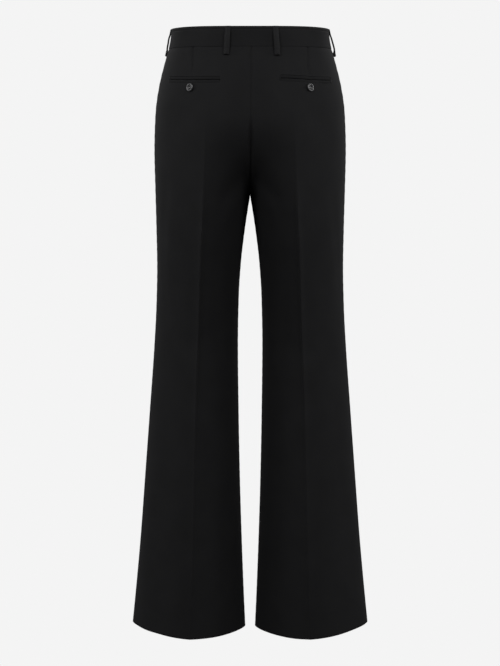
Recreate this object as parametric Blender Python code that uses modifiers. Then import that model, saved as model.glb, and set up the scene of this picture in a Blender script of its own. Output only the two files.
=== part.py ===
"""Flared trousers, filled out as when worn and held at the waist.

Metres, +Z up. The origin is the centre of the waist, where the wearer holds the trousers up. The front faces -Y and
the wearer's left is +X. Every panel is a wall of cloth between two grids of points. A grid's rows run from the waist
to the hem, and its columns from the side seam, over the pressed crease, to the centre seam or the inseam.
"""

import math
from collections import namedtuple

import bmesh
import bpy
import numpy as np
from mathutils import Vector

MM = 0.001

# Cloth
CLOTH = 1.2 * MM
WAISTBAND_CLOTH = 2.4 * MM
LOOP_CLOTH = 2.0 * MM
JET_CLOTH = 1.2 * MM
SEAM_GAP = 0.3 * MM

# The outline from behind: distance of the side seam and of the pressed crease from the centre line.
OUTLINE_COLUMNS = ("height", "side", "crease")
OUTLINE_ROWS = (
    (22, 137.6, 66.0),  # top of the waistband
    (0, 138.9, 66.5),
    (-14, 142.4, 67.5),  # waist seam
    (-42, 150.4, 70.0),
    (-84, 160.8, 73.0),
    (-127, 166.9, 75.5),
    (-197, 169.4, 78.0),  # seat
    (-272, 168.0, 81.0),  # crotch
    (-340, 166.7, 85.0),
    (-397, 166.0, 87.5),
    (-470, 167.9, 90.0),
    (-543, 172.1, 92.5),  # knee
    (-660, 181.1, 96.5),
    (-778, 190.4, 99.5),
    (-898, 200.0, 102.5),
    (-1000, 209.8, 106.0),
    (-1063, 216.4, 108.5),  # hem
)

# How far the pressed creases reach behind and in front of the side seams. On the hips, where nothing is pressed, the
# section is the oval through that point.
DEPTH_COLUMNS = ("height", "back", "front")
DEPTH_ROWS = (
    (22, 83.0, 76.5),
    (-14, 86.7, 79.7),
    (-42, 94.7, 84.2),
    (-84, 105.0, 89.5),
    (-127, 111.3, 92.6),
    (-170, 113.4, 93.6),
    (-215, 112.0, 93.6),
    (-272, 107.5, 92.6),
    (-340, 99.0, 89.5),
    (-397, 90.5, 85.0),
    (-455, 83.0, 79.5),
    (-543, 75.5, 73.5),
    (-660, 74.0, 71.0),
    (-778, 75.0, 71.5),
    (-898, 77.0, 73.0),
    (-1000, 79.0, 75.5),
    (-1063, 80.0, 76.5),
)

# One leg: distance of the inseam from the centre line, place of the inseam before or behind the side seam, how
# straight the cloth runs from seam to crease (0.5 is an ellipse and 1 nearly a fold), how much rounder the half
# towards the inseam is, and how sharp the pressed crease is.
LEG_COLUMNS = ("height", "inseam", "inseam_y", "straight", "rounder", "ridge")
LEG_ROWS = (
    (-272, 0.15, -15.0, 0.50, 0.00, 0.04),
    (-300, 4.8, -12.0, 0.51, 0.00, 0.05),
    (-340, 10.7, -9.0, 0.53, 0.01, 0.07),
    (-397, 17.2, -6.0, 0.55, 0.02, 0.09),
    (-455, 20.8, -4.0, 0.58, 0.03, 0.12),
    (-543, 22.4, -2.0, 0.60, 0.04, 0.14),
    (-660, 21.3, 0.0, 0.62, 0.05, 0.15),
    (-778, 19.2, 0.0, 0.64, 0.06, 0.15),
    (-898, 15.8, 0.0, 0.66, 0.06, 0.15),
    (-1000, 12.1, 0.0, 0.66, 0.06, 0.15),
    (-1063, 9.4, 0.0, 0.66, 0.06, 0.15),
)

CROTCH = -272 * MM
BACK_FORK = -130 * MM  # where the back centre seam starts to sink between the legs
FRONT_FORK = -170 * MM
FORK_BEND = 1.8  # how late the fork sinks: higher keeps the seat full for longer
FORK_END_SEAM = 0.55  # how abruptly it ends at the crotch: under 1 comes in level, as the centre seam does
FORK_END_CREASE = 1.7  # over 1 comes in upright, as the cloth does beside the crease
OUTER_TURNS_OVAL = -100 * MM  # between these heights the outer half goes from the hips' oval to the leg's own section
OUTER_TURNS_LEG = -420 * MM

# The waist's top edge is highest at the back.
TOP_SIDE = 18.5 * MM
TOP_BACK = 21.5 * MM
TOP_FRONT = 14.0 * MM
WAISTBAND = 34.0 * MM
WAISTBAND_PROUD = 0.5 * MM  # its outside stands that far out from the panels' outside

HEM_SIDE = -1058.5 * MM
HEM_INSEAM = -1065.5 * MM
HEM_BACK_DIP = 6.0 * MM
HEM_FRONT_RISE = 3.0 * MM

# Fly: the right front laps over the left front, and the zip lies behind both.
FLY_BOTTOM = -150 * MM
FLY_CLOSES = -160 * MM  # below this the centre front is a plain seam, and from the fork down it lies flat
LAP_EDGE = 8.5 * MM  # of the right front, past the centre line
UNDER_EDGE = 4.5 * MM  # of the left front, short of the centre line
SET_BACK = CLOTH + SEAM_GAP
SET_BACK_FULL = 10 * MM  # from the centre line, where the left front lies full depth under the lap
SET_BACK_STARTS = 22 * MM
BAND_UNDERLAP = 30 * MM  # the left waistband runs that far past the centre line, under the right one
BAND_SET_BACK = WAISTBAND_CLOTH + SEAM_GAP
BAND_SET_BACK_FULL = 18 * MM
BAND_SET_BACK_STARTS = 34 * MM

# Grid sizes. The hips' rows are evenly spaced down to the first stop, and the fork's start at the last one.
HIP_STOPS = {"back": (BACK_FORK,), "front": (FLY_BOTTOM, FLY_CLOSES, FRONT_FORK)}
HIP_BANDS = 7
FORK_BANDS = 9
LEG_BANDS = 17
OUTER_STRIPS = 9
INNER_STRIPS = 9
WAISTBAND_STRIPS = 28

# Belt loops: angle round the waist from the left side seam, 90 degrees at the centre back.
LOOP_WIDTH = 10.0 * MM
LOOP_ANGLES = {
    "belt_loop_back_left": 74.0,
    "belt_loop_back_right": 108.4,
    "belt_loop_side_left": 0.0,
    "belt_loop_side_right": 180.0,
    "belt_loop_front_left": -60.0,
    "belt_loop_front_right": -120.0,
}
LoopRow = namedtuple("LoopRow", "drop stand_off")  # below the waistband's top edge, and out from the cloth
LOOP_ROWS = (
    LoopRow(0.0, 0.8),
    LoopRow(3.0, 0.9),
    LoopRow(8.0, 2.2),
    LoopRow(12.5, 3.2),
    LoopRow(20.0, 3.8),
    LoopRow(28.0, 3.9),
    LoopRow(34.5, 3.5),
    LoopRow(38.5, 1.6),
    LoopRow(41.5, 0.7),
    LoopRow(48.0, 0.6),
)

# Back pockets: heights of the pocket mouth at its inner and outer ends. The right one droops at its outer end.
JET_HEIGHT = 5.2 * MM
JET_LIPS = 0.4 * MM  # gap at the mouth
POCKET_INNER = 52.0 * MM
POCKET_OUTER = 138.5 * MM
POCKET_MOUTHS = {"left": (-69.0 * MM, -69.4 * MM), "right": (-66.6 * MM, -70.7 * MM)}
JET_STRIPS = 12

# Buttons
BUTTON_STEPS = 24
ButtonRow = namedtuple("ButtonRow", "radius height")  # of the turned outline, from the middle of its face to its back
BUTTON_ROWS = (
    ButtonRow(0.0, 1.5),
    ButtonRow(3.6, 1.5),
    ButtonRow(4.6, 2.5),
    ButtonRow(5.7, 2.9),
    ButtonRow(6.8, 2.5),
    ButtonRow(7.25, 1.7),
    ButtonRow(6.8, 0.7),
    ButtonRow(5.4, 0.0),
    ButtonRow(0.0, 0.0),
)
BUTTON_HOLE_RADIUS = 0.8 * MM
BUTTON_HOLE_OFFSET = 1.6 * MM
BUTTON_HOLE_SIDES = 8
HOLE_CUTTER_LENGTH = 12 * MM
POCKET_BUTTON_X = 104.0 * MM
POCKET_BUTTON_HEIGHT = -82.5 * MM
FRONT_BUTTON_X = -12.0 * MM

BLACK_WOOL = ("black wool", (0.011, 0.011, 0.012), 0.9, 0.0)
BLACK_TAPE = ("black zip tape", (0.012, 0.012, 0.012), 0.85, 0.0)
DARK_METAL = ("dark zip metal", (0.05, 0.05, 0.052), 0.4, 1.0)
DARK_BUTTON = ("dark grey button", (0.045, 0.045, 0.048), 0.3, 0.0)
SHARP_EDGE = 50.0  # degrees between faces, from which an edge is shaded sharp

# The zip, closed, behind the fly. Its depth is that of the piece's outside behind the outside of the fronts.
ZipPiece = namedtuple("ZipPiece", "node half_width top bottom depth thickness finish")
ZIP_PIECES = (
    ZipPiece("zip_tape", 15.0, -22.0, -146.0, 3.0, 0.8, BLACK_TAPE),
    ZipPiece("zip_chain", 2.2, -34.3, -142.0, 1.7, 1.0, DARK_METAL),
    ZipPiece("zip_slider", 3.6, -24.0, -34.0, 1.5, 1.2, DARK_METAL),
)
ZIP_BANDS = 6
ZIP_STRIPS = 4


class Profile:
    """A smooth curve through one column of a table, read by height, that never overshoots its rows."""

    def __init__(self, columns, rows, name, unit=MM):
        table = np.array(sorted(rows), float)
        self.at = table[:, columns.index("height")] * MM
        self.value = table[:, columns.index(name)] * unit
        rise = np.diff(self.value) / np.diff(self.at)
        product = rise[1:] * rise[:-1]
        total = np.where(product > 0, rise[1:] + rise[:-1], 1)
        inner = np.where(product > 0, 2 * product / total, 0)
        self.slope = np.concatenate([rise[:1], inner, rise[-1:]])

    def __call__(self, height):
        height = min(max(height, self.at[0]), self.at[-1])
        i = min(int(np.searchsorted(self.at, height, "right")) - 1, len(self.at) - 2)
        step = self.at[i + 1] - self.at[i]
        t = (height - self.at[i]) / step
        low = (1 + 2 * t) * (1 - t) ** 2 * self.value[i] + t * (1 - t) ** 2 * step * self.slope[i]
        high = t * t * (3 - 2 * t) * self.value[i + 1] - t * t * (1 - t) * step * self.slope[i + 1]
        return low + high


SIDE = Profile(OUTLINE_COLUMNS, OUTLINE_ROWS, "side")
CREASE = Profile(OUTLINE_COLUMNS, OUTLINE_ROWS, "crease")
DEPTH = {face: Profile(DEPTH_COLUMNS, DEPTH_ROWS, face) for face in ("back", "front")}
INSEAM = Profile(LEG_COLUMNS, LEG_ROWS, "inseam")
INSEAM_Y = Profile(LEG_COLUMNS, LEG_ROWS, "inseam_y")
STRAIGHT = Profile(LEG_COLUMNS, LEG_ROWS, "straight", 1)
ROUNDER = Profile(LEG_COLUMNS, LEG_ROWS, "rounder", 1)
RIDGE = Profile(LEG_COLUMNS, LEG_ROWS, "ridge", 1)


def ease(value, start, end):
    """0 at start, 1 at end, and a smooth step between them."""
    t = min(max((value - start) / (end - start), 0), 1)
    return t * t * (3 - 2 * t)


# --- the surface of the hips and legs ---------------------------------------------------------------------------


def crease_angle(height):
    """Angle of the crease on the hips' oval."""
    return math.acos(CREASE(height) / SIDE(height))


def hip_surface(angle, height):
    """A point of the hips' oval, at an angle in radians from the left side seam, positive towards the back."""
    depth = DEPTH["back" if math.sin(angle) > 0 else "front"](height) / math.sin(crease_angle(height))
    return np.array([SIDE(height) * math.cos(angle), depth * math.sin(angle), height])


def hip_normal(angle, height):
    """The outward direction there."""
    step = 1e-3
    along = hip_surface(angle + step, height) - hip_surface(angle - step, height)
    up = hip_surface(angle, height + step) - hip_surface(angle, height - step)
    out = np.cross(along, up)
    return out / np.linalg.norm(out)


def hip_angle(x, height, face):
    """The angle at which the oval is at a distance x from the centre line, on that face."""
    angle = math.acos(min(max(x / SIDE(height), -1), 1))
    return angle if face == "back" else -angle


def waist_top(angle):
    """Height of the waistband's top edge."""
    end = TOP_BACK if math.sin(angle) > 0 else TOP_FRONT
    return TOP_SIDE + (end - TOP_SIDE) * abs(math.sin(angle))


def section_angle(across, height, edge):
    """The angle of a column of a panel, from 0 at the side seam over 0.5 at the crease to 1 at its centre edge."""
    crease = crease_angle(height)
    if across <= 0.5:
        return crease * across * 2
    return crease + (math.acos(edge / SIDE(height)) - crease) * (across * 2 - 1)


def hip_section(across, height, face, edge):
    """A column's distance from the centre line and its depth, on the oval of the hips."""
    x, depth, _ = hip_surface(section_angle(across, height, edge) * (1 if face == "back" else -1), height)
    return np.array([x, abs(depth)])


def leg_section(across, height, face):
    """The same on the leg, a pointed oval with its ends at the pressed creases."""
    outer = across <= 0.5
    turn = math.pi * (across if outer else 1 - across)
    seam = SIDE(height) if outer else INSEAM(height)
    straight = STRAIGHT(height) - (0 if outer else ROUNDER(height))
    rise = (1 - RIDGE(height)) * math.sin(turn) ** (2 * straight) + RIDGE(height) * (1 - math.cos(turn))
    seam_depth = 0 if outer else INSEAM_Y(height) * math.cos(turn) * (1 if face == "back" else -1)
    crease = CREASE(height)
    return np.array([crease + (seam - crease) * math.cos(turn), DEPTH[face](height) * rise + seam_depth])


def leg_share(across, height, face):
    """How far a column has gone over from the hips' section to the leg's, at that height."""
    if across <= 0.5:
        return ease(height, OUTER_TURNS_OVAL, OUTER_TURNS_LEG)
    fork = HIP_STOPS[face][-1]
    sunk = min(max((height - fork) / (CROTCH - fork), 0), 1)
    end = FORK_END_CREASE + (FORK_END_SEAM - FORK_END_CREASE) * (across * 2 - 1)
    return 1 - (1 - sunk**FORK_BEND) ** end


def hem_height(across, face):
    """Height of the hem's edge, which runs down to the inseam and dips at the back crease."""
    swing = math.sin(math.pi * across) ** 3
    lift = -HEM_BACK_DIP if face == "back" else HEM_FRONT_RISE
    return HEM_SIDE + (HEM_INSEAM - HEM_SIDE) * (1 - math.cos(math.pi * across)) / 2 + lift * swing


def row_heights(across, face, edge):
    """The height of each row in that column of a panel."""
    angle = section_angle(across, -WAISTBAND, edge(-WAISTBAND))
    top = waist_top(angle if face == "back" else -angle) - WAISTBAND - SEAM_GAP / 2
    stops = HIP_STOPS[face]
    turns = np.linspace(0, math.pi / 2, FORK_BANDS + 1)[1:]
    legs = np.linspace(CROTCH, hem_height(across, face), LEG_BANDS + 1)[1:]
    hips = np.linspace(top, stops[0], HIP_BANDS + 1)
    return [*hips, *stops[1:], *(stops[-1] + (CROTCH - stops[-1]) * np.sin(turns)), *legs]


def panel_points(face, edge):
    """The outside of one left panel, a grid of points. edge(height) is how far its centre edge is from the centre."""
    outward = 1 if face == "back" else -1
    columns = []
    for across in np.linspace(0, 1, OUTER_STRIPS + INNER_STRIPS + 1):
        column = []
        for height in row_heights(across, face, edge):
            share = leg_share(across, height, face)
            hip = hip_section(across, height, face, edge(height))
            x, depth = (1 - share) * hip + share * leg_section(across, height, face)
            column.append((x, outward * (depth + SEAM_GAP / 2), height))
        columns.append(column)
    return np.array(columns).transpose(1, 0, 2)


def panel_normals(points, face):
    """The outward direction at each point. Along a seam it lies in the seam's own plane, so both sides agree."""
    down = np.gradient(points, axis=0)
    across = np.gradient(points, axis=1)
    out = np.cross(down, across)
    if face == "front":
        out = -out
    out[:, 0, 1] = 0
    legs = len(points) - LEG_BANDS
    out[legs - 1 :, -1, 1] = 0
    out[: legs - 1, -1, 0] = np.minimum(out[: legs - 1, -1, 0], 0)
    return out / np.linalg.norm(out, axis=2, keepdims=True)


# --- making solids ----------------------------------------------------------------------------------------------


def material(finish):
    """The Principled material of a finish, made once."""
    name, colour, roughness, metallic = finish
    made = bpy.data.materials.get(name)
    if made is None:
        made = bpy.data.materials.new(name)
        made.use_nodes = True
        shader = made.node_tree.nodes["Principled BSDF"]
        shader.inputs["Base Color"].default_value = (*colour, 1)
        shader.inputs["Roughness"].default_value = roughness
        shader.inputs["Metallic"].default_value = metallic
        made.diffuse_color = (*colour, 1)
    return made


def place(name, mesh, collection, finish):
    """An object of that mesh, in the collection, with its own material slot."""
    made = bpy.data.objects.new(name, mesh)
    made.data.materials.append(material(finish))
    collection.objects.link(made)
    return made


def grid_mesh(name, points, flip):
    """An open surface through a grid of points."""
    rows, columns = points.shape[:2]
    faces = []
    for r in range(rows - 1):
        for c in range(columns - 1):
            a = r * columns + c
            face = (a, a + columns, a + columns + 1, a + 1)
            faces.append(face[::-1] if flip else face)
    mesh = bpy.data.meshes.new(name)
    mesh.from_pydata([tuple(p) for p in points.reshape(-1, 3)], [], faces)
    mesh.shade_smooth()
    return mesh


def wall(name, outside, inside, flip, collection, finish):
    """A closed wall of cloth between two grids of points, joined round their edges."""
    mesh = grid_mesh(name, outside, flip)
    lining = grid_mesh(name, inside, not flip)
    built = bmesh.new()
    built.from_mesh(mesh)
    built.from_mesh(lining)
    bpy.data.meshes.remove(lining)
    built.verts.ensure_lookup_table()
    rows, columns = outside.shape[:2]
    half = rows * columns
    border = list(range(columns))
    border += [r * columns + columns - 1 for r in range(1, rows)]
    border += [(rows - 1) * columns + c for c in range(columns - 2, -1, -1)]
    border += [r * columns for r in range(rows - 2, 0, -1)]
    for start, end in zip(border, border[1:] + border[:1]):
        rim = [built.verts[i] for i in (start, end, end + half, start + half)]
        built.faces.new(rim[::-1] if flip else rim)
    built.to_mesh(mesh)
    built.free()
    mesh.set_sharp_from_angle(angle=math.radians(SHARP_EDGE))
    return place(name, mesh, collection, finish)


def mirror_x(points):
    """The same points on the wearer's right."""
    return points * (-1, 1, 1)


# --- the pieces -------------------------------------------------------------------------------------------------


def centre_seam(height):
    """Centre edge of a panel that is sewn to its twin on the centre line."""
    return SEAM_GAP / 2


def lap_edge(height):
    """Centre edge of the right front, past the centre line down to the fly's end."""
    closed = ease(height, FLY_BOTTOM, FLY_CLOSES)
    return -LAP_EDGE * (1 - closed) + SEAM_GAP / 2 * closed


def under_edge(height):
    """Centre edge of the left front, short of the centre line beside the zip."""
    closed = ease(height, FLY_BOTTOM, FLY_CLOSES)
    return UNDER_EDGE * (1 - closed) + SEAM_GAP / 2 * closed


def fly_set_back(point):
    """How far the left front is set back under the lap at that point."""
    near = 1 - ease(point[0], SET_BACK_FULL, SET_BACK_STARTS)
    return SET_BACK * near * (1 - ease(point[2], FLY_CLOSES, FRONT_FORK))


def make_panels(collection):
    """Two backs and two fronts, each from the waist seam to the hem."""
    panels = (
        ("back_panel_left", "back", centre_seam, False),
        ("back_panel_right", "back", centre_seam, True),
        ("front_panel_left", "front", under_edge, False),
        ("front_panel_right", "front", lap_edge, True),
    )
    for name, face, edge, right in panels:
        outside = panel_points(face, edge)
        normals = panel_normals(outside, face)
        if edge is under_edge:
            depth = np.apply_along_axis(fly_set_back, 2, outside)
            outside = outside - normals * depth[..., None]
        inside = outside - normals * CLOTH
        if right:
            outside, inside = mirror_x(outside), mirror_x(inside)
        wall(name, outside, inside, (face == "front") != right, collection, BLACK_WOOL)


def band_grid(angles, lift):
    """Outside and inside of a stretch of waistband. lift(point) moves a point of the hips' surface outwards."""
    outside = []
    inside = []
    for share in (0.0, 0.5, 1.0):
        outer_row = []
        inner_row = []
        for angle in angles:
            bottom = waist_top(angle) - WAISTBAND + SEAM_GAP / 2
            height = waist_top(angle) + (bottom - waist_top(angle)) * share
            point = hip_surface(angle, height)
            out = hip_normal(angle, height)
            outer = point + out * (WAISTBAND_PROUD + lift(point))
            outer_row.append(outer)
            inner_row.append(outer - out * WAISTBAND_CLOTH)
        outside.append(outer_row)
        inside.append(inner_row)
    return np.array(outside), np.array(inside)


def band_set_back(point):
    """How far the left waistband's end moves in, under the right one."""
    if point[1] > 0:
        return 0.0
    return -BAND_SET_BACK * (1 - ease(point[0], BAND_SET_BACK_FULL, BAND_SET_BACK_STARTS))


def make_waistband(collection):
    """The waistband's two halves, sewn at the centre back and lapped at the front."""
    height = -WAISTBAND / 2
    back = hip_angle(SEAM_GAP / 2, height, "back")
    left_end = hip_angle(-BAND_UNDERLAP, height, "front")
    right_end = hip_angle(-LAP_EDGE, height, "front")
    left = band_grid(np.linspace(back, left_end, WAISTBAND_STRIPS), band_set_back)
    right = band_grid(np.linspace(back, right_end, WAISTBAND_STRIPS), lambda point: 0.0)
    wall("waistband_left", *left, True, collection, BLACK_WOOL)
    wall("waistband_right", *map(mirror_x, right), False, collection, BLACK_WOOL)


def thicken(made, thickness):
    """Gives an open surface its thickness outwards."""
    solidify = made.modifiers.new("Thickness", "SOLIDIFY")
    solidify.thickness = thickness
    solidify.offset = 1
    return made


def make_belt_loops(collection):
    """Six loops, each a strap that is sewn down at both ends and stands off the waistband between them."""
    for name, degrees in LOOP_ANGLES.items():
        middle = math.radians(degrees)
        tangent = hip_surface(middle + 0.01, 0) - hip_surface(middle - 0.01, 0)
        half = LOOP_WIDTH / 2 / (np.linalg.norm(tangent) / 0.02)
        rows = []
        for place_on_loop in LOOP_ROWS:
            height = waist_top(middle) - place_on_loop.drop * MM
            out = hip_normal(middle, height) * place_on_loop.stand_off * MM
            rows.append([hip_surface(middle + half * share, height) + out for share in (-1, 0, 1)])
        mesh = grid_mesh(name, np.array(rows), False)
        thicken(place(name, mesh, collection, BLACK_WOOL), LOOP_CLOTH)


def pocket_mouth(side, x):
    """Height of a pocket's mouth at a distance from the centre line."""
    inner, outer = POCKET_MOUTHS[side]
    return inner + (outer - inner) * ease(x, POCKET_INNER, POCKET_OUTER)


def make_pocket_jets(collection):
    """The upper and lower jet of each back pocket, strips that lie on the back panel along the pocket's mouth."""
    start = hip_angle(POCKET_OUTER, POCKET_MOUTHS["left"][0], "back")
    end = hip_angle(POCKET_INNER, POCKET_MOUTHS["left"][0], "back")
    for side in ("left", "right"):
        for jet, direction in (("upper", 1), ("lower", -1)):
            rows = []
            for distance in (JET_LIPS / 2, JET_HEIGHT / 2, JET_HEIGHT):
                row = []
                for angle in np.linspace(start, end, JET_STRIPS + 1):
                    x = SIDE(POCKET_MOUTHS[side][0]) * math.cos(angle)
                    height = pocket_mouth(side, x) + direction * distance
                    row.append(hip_surface(angle, height) + hip_normal(angle, height) * SEAM_GAP)
                rows.append(row)
            points = np.array(rows)
            if side == "right":
                points = mirror_x(points)
            name = f"pocket_jet_{jet}_{side}"
            flip = (side == "right") != (jet == "upper")
            thicken(place(name, grid_mesh(name, points, flip), collection, BLACK_WOOL), JET_CLOTH)


def hole_cutter(offset_x, offset_y, collection):
    """A cylinder that cuts one thread hole, at the button's own origin."""
    bpy.ops.mesh.primitive_cylinder_add(
        vertices=BUTTON_HOLE_SIDES, radius=BUTTON_HOLE_RADIUS, depth=HOLE_CUTTER_LENGTH
    )
    cutter = bpy.context.object
    for owner in list(cutter.users_collection):
        owner.objects.unlink(cutter)
    collection.objects.link(cutter)
    cutter.location = (offset_x, offset_y, 0)
    cutter.hide_render = True
    cutter.display_type = "WIRE"
    return cutter


def make_button(name, point, normal, collection, cutters):
    """A turned four-hole button with a raised rim, its back at the point and its face along the normal."""
    mesh = bpy.data.meshes.new(name)
    points = [(row.radius * MM, 0, row.height * MM) for row in BUTTON_ROWS]
    edges = [(i, i + 1) for i in range(len(points) - 1)]
    mesh.from_pydata(points, edges, [])
    button = place(name, mesh, collection, DARK_BUTTON)
    turned = button.modifiers.new("Turned", "SCREW")
    turned.steps = turned.render_steps = BUTTON_STEPS
    turned.use_merge_vertices = True
    turned.merge_threshold = 0.00001
    turned.use_smooth_shade = True
    button.location = point
    button.rotation_euler = Vector(normal).to_track_quat("Z", "Y").to_euler()
    for sign_x in (-1, 1):
        for sign_y in (-1, 1):
            cutter = hole_cutter(sign_x * BUTTON_HOLE_OFFSET, sign_y * BUTTON_HOLE_OFFSET, cutters)
            cutter.parent = button
            hole = button.modifiers.new("Hole", "BOOLEAN")
            hole.operation = "DIFFERENCE"
            hole.object = cutter


def make_buttons(collection, cutters):
    """One button below each back pocket and one on the waistband's lap."""
    height = POCKET_BUTTON_HEIGHT
    for side, sign in (("left", 1), ("right", -1)):
        angle = hip_angle(sign * POCKET_BUTTON_X, height, "back")
        out = hip_normal(angle, height)
        point = hip_surface(angle, height) + out * SEAM_GAP
        make_button(f"pocket_button_{side}", point, out, collection, cutters)
    angle = hip_angle(FRONT_BUTTON_X, 0, "front")
    height = waist_top(angle) - WAISTBAND / 2
    out = hip_normal(angle, height)
    point = hip_surface(angle, height) + out * (WAISTBAND_PROUD + SEAM_GAP)
    make_button("waistband_button", point, out, collection, cutters)


def make_zip(collection):
    """The fly's zip, closed: the tape, the chain of teeth on it and the slider at the chain's top."""
    for piece in ZIP_PIECES:
        rows = []
        for height in np.linspace(piece.top * MM, piece.bottom * MM, ZIP_BANDS + 1):
            row = []
            for x in np.linspace(-piece.half_width * MM, piece.half_width * MM, ZIP_STRIPS + 1):
                angle = hip_angle(x, height, "front")
                inset = (piece.depth + piece.thickness) * MM
                row.append(hip_surface(angle, height) - hip_normal(angle, height) * inset)
            rows.append(row)
        mesh = grid_mesh(piece.node, np.array(rows), False)
        thicken(place(piece.node, mesh, collection, piece.finish), piece.thickness * MM)


def new_collection(name):
    """A collection in the scene."""
    made = bpy.data.collections.new(name)
    bpy.context.scene.collection.children.link(made)
    return made


def main():
    for left_over in list(bpy.data.objects):
        bpy.data.objects.remove(left_over, do_unlink=True)
    trousers = new_collection("flared trousers")
    cutters = new_collection("cutters")
    make_panels(trousers)
    make_waistband(trousers)
    make_belt_loops(trousers)
    make_pocket_jets(trousers)
    make_buttons(trousers, cutters)
    make_zip(trousers)


main()
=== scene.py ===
"""Looks of the flared trousers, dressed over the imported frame.

Metres, +Z up. The origin is the centre of the waist, the front faces -Y and the wearer's left is +X.
Tables are in millimetres. The cloth follows the form of the solids, in finer steps and with its smaller
folds, and every seam, stitch, button and zip tooth lies on it. The photograph's view is from behind.
"""

import logging
import math
from collections.abc import Callable, Sequence
from dataclasses import dataclass, field
from enum import Enum

import bpy
import numpy as np
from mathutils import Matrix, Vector
from mathutils.bvhtree import BVHTree


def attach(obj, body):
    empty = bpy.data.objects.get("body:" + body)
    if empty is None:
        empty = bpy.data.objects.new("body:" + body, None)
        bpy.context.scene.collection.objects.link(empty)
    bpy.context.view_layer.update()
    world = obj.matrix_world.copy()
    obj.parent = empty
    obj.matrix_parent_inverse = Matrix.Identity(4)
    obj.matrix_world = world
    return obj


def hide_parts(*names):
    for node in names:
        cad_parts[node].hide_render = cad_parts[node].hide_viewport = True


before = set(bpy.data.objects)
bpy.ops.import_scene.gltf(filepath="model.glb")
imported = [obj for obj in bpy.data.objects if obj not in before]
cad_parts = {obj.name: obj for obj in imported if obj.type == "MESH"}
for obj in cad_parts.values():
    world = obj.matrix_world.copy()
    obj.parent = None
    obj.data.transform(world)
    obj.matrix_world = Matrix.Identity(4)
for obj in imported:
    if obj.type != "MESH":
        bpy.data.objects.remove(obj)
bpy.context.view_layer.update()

LOG = logging.getLogger("trousers")
MM = 0.001
SEED = 7


class Face(Enum):
    """Which way a panel faces, as the sign of its Y."""

    BACK = 1
    FRONT = -1


class Side(Enum):
    """A side of the wearer, as the sign of its X."""

    LEFT = 1
    RIGHT = -1


class Slot(Enum):
    """The record's material slots."""

    WOOL = "wool"
    BUTTON = "button"
    ZIP_TAPE = "zip_tape"
    ZIP_METAL = "zip_metal"


Array = np.ndarray
Numbers = np.ndarray | float
Piece = bpy.types.Object
Material = bpy.types.Material
Pair = tuple[float, float]
Outline = tuple[Pair, ...]
Colour = tuple[float, float, float]
Triple = tuple[float, float, float]
PanelKey = tuple[Face, Side]


# --- the form of the garment, after the solids ---


@dataclass(frozen=True)
class Table:
    """Rows of sizes, each row at the height or the drop that it begins with, in millimetres."""

    columns: tuple[str, ...]
    rows: tuple[tuple[float, ...], ...]

    def profile(self, name: str, unit: float = MM, soften: float = 0.0) -> "Profile":
        """Reads one column as a smooth curve over the first one.

        Args:
            name: The column.
            unit: What one of its numbers is worth, 1 where it holds plain shares.
            soften: Distance in metres over which bends are rounded off.

        Returns:
            The curve.
        """
        rows = np.array(sorted(self.rows), float)
        return Profile(rows[:, 0] * MM, rows[:, self.columns.index(name)] * unit, soften)


class Profile:
    """A smooth curve through points over height, which never overshoots them."""

    STEP = 0.5 * MM

    def __init__(self, at: Array, value: Array, soften: float) -> None:
        """Works the curve out once, in small steps.

        Args:
            at: Heights, rising.
            value: Values there.
            soften: Distance over which bends are rounded off.
        """
        rise = np.diff(value) / np.diff(at)
        product = rise[1:] * rise[:-1]
        total = np.where(product > 0, rise[1:] + rise[:-1], 1)
        slope = np.concatenate([rise[:1], np.where(product > 0, 2 * product / total, 0), rise[-1:]])
        self.heights = np.arange(at[0], at[-1] + self.STEP, self.STEP)
        i = np.clip(np.searchsorted(at, self.heights, "right") - 1, 0, len(at) - 2)
        step = at[i + 1] - at[i]
        t = np.clip((self.heights - at[i]) / step, 0, 1)
        low = (1 + 2 * t) * (1 - t) ** 2 * value[i] + t * (1 - t) ** 2 * step * slope[i]
        high = t * t * (3 - 2 * t) * value[i + 1] - t * t * (1 - t) * step * slope[i + 1]
        self.values = low + high
        if soften:
            reach = int(3 * soften / self.STEP)
            weights = np.exp(-0.5 * (np.arange(-reach, reach + 1) * self.STEP / soften) ** 2)
            padded = np.pad(self.values, reach, "reflect", reflect_type="odd")
            self.values = np.convolve(padded, weights / weights.sum(), "valid")

    def __call__(self, height: Numbers) -> Array:
        """The curve's value at each height."""
        return np.interp(height, self.heights, self.values)


def ease(value: Numbers, start: float, end: float) -> Array:
    """A smooth step from 0 at start to 1 at end."""
    t = np.clip((value - start) / (end - start), 0, 1)
    return t * t * (3 - 2 * t)


def bell(distance: Numbers, width: float) -> Array:
    """1 at no distance, falling smoothly to 0 a few widths away."""
    return np.exp(-((distance / width) ** 2))


def unit(vectors: Array) -> Array:
    """The vectors at length 1."""
    return vectors / np.linalg.norm(vectors, axis=-1, keepdims=True)


def run_along(points: Array, axis: int = 0) -> Array:
    """How far along its line each point lies, where the lines run along that axis."""
    steps = np.linalg.norm(np.diff(points, axis=axis), axis=-1)
    return np.insert(np.cumsum(steps, axis=axis), 0, 0.0, axis=axis)


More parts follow.
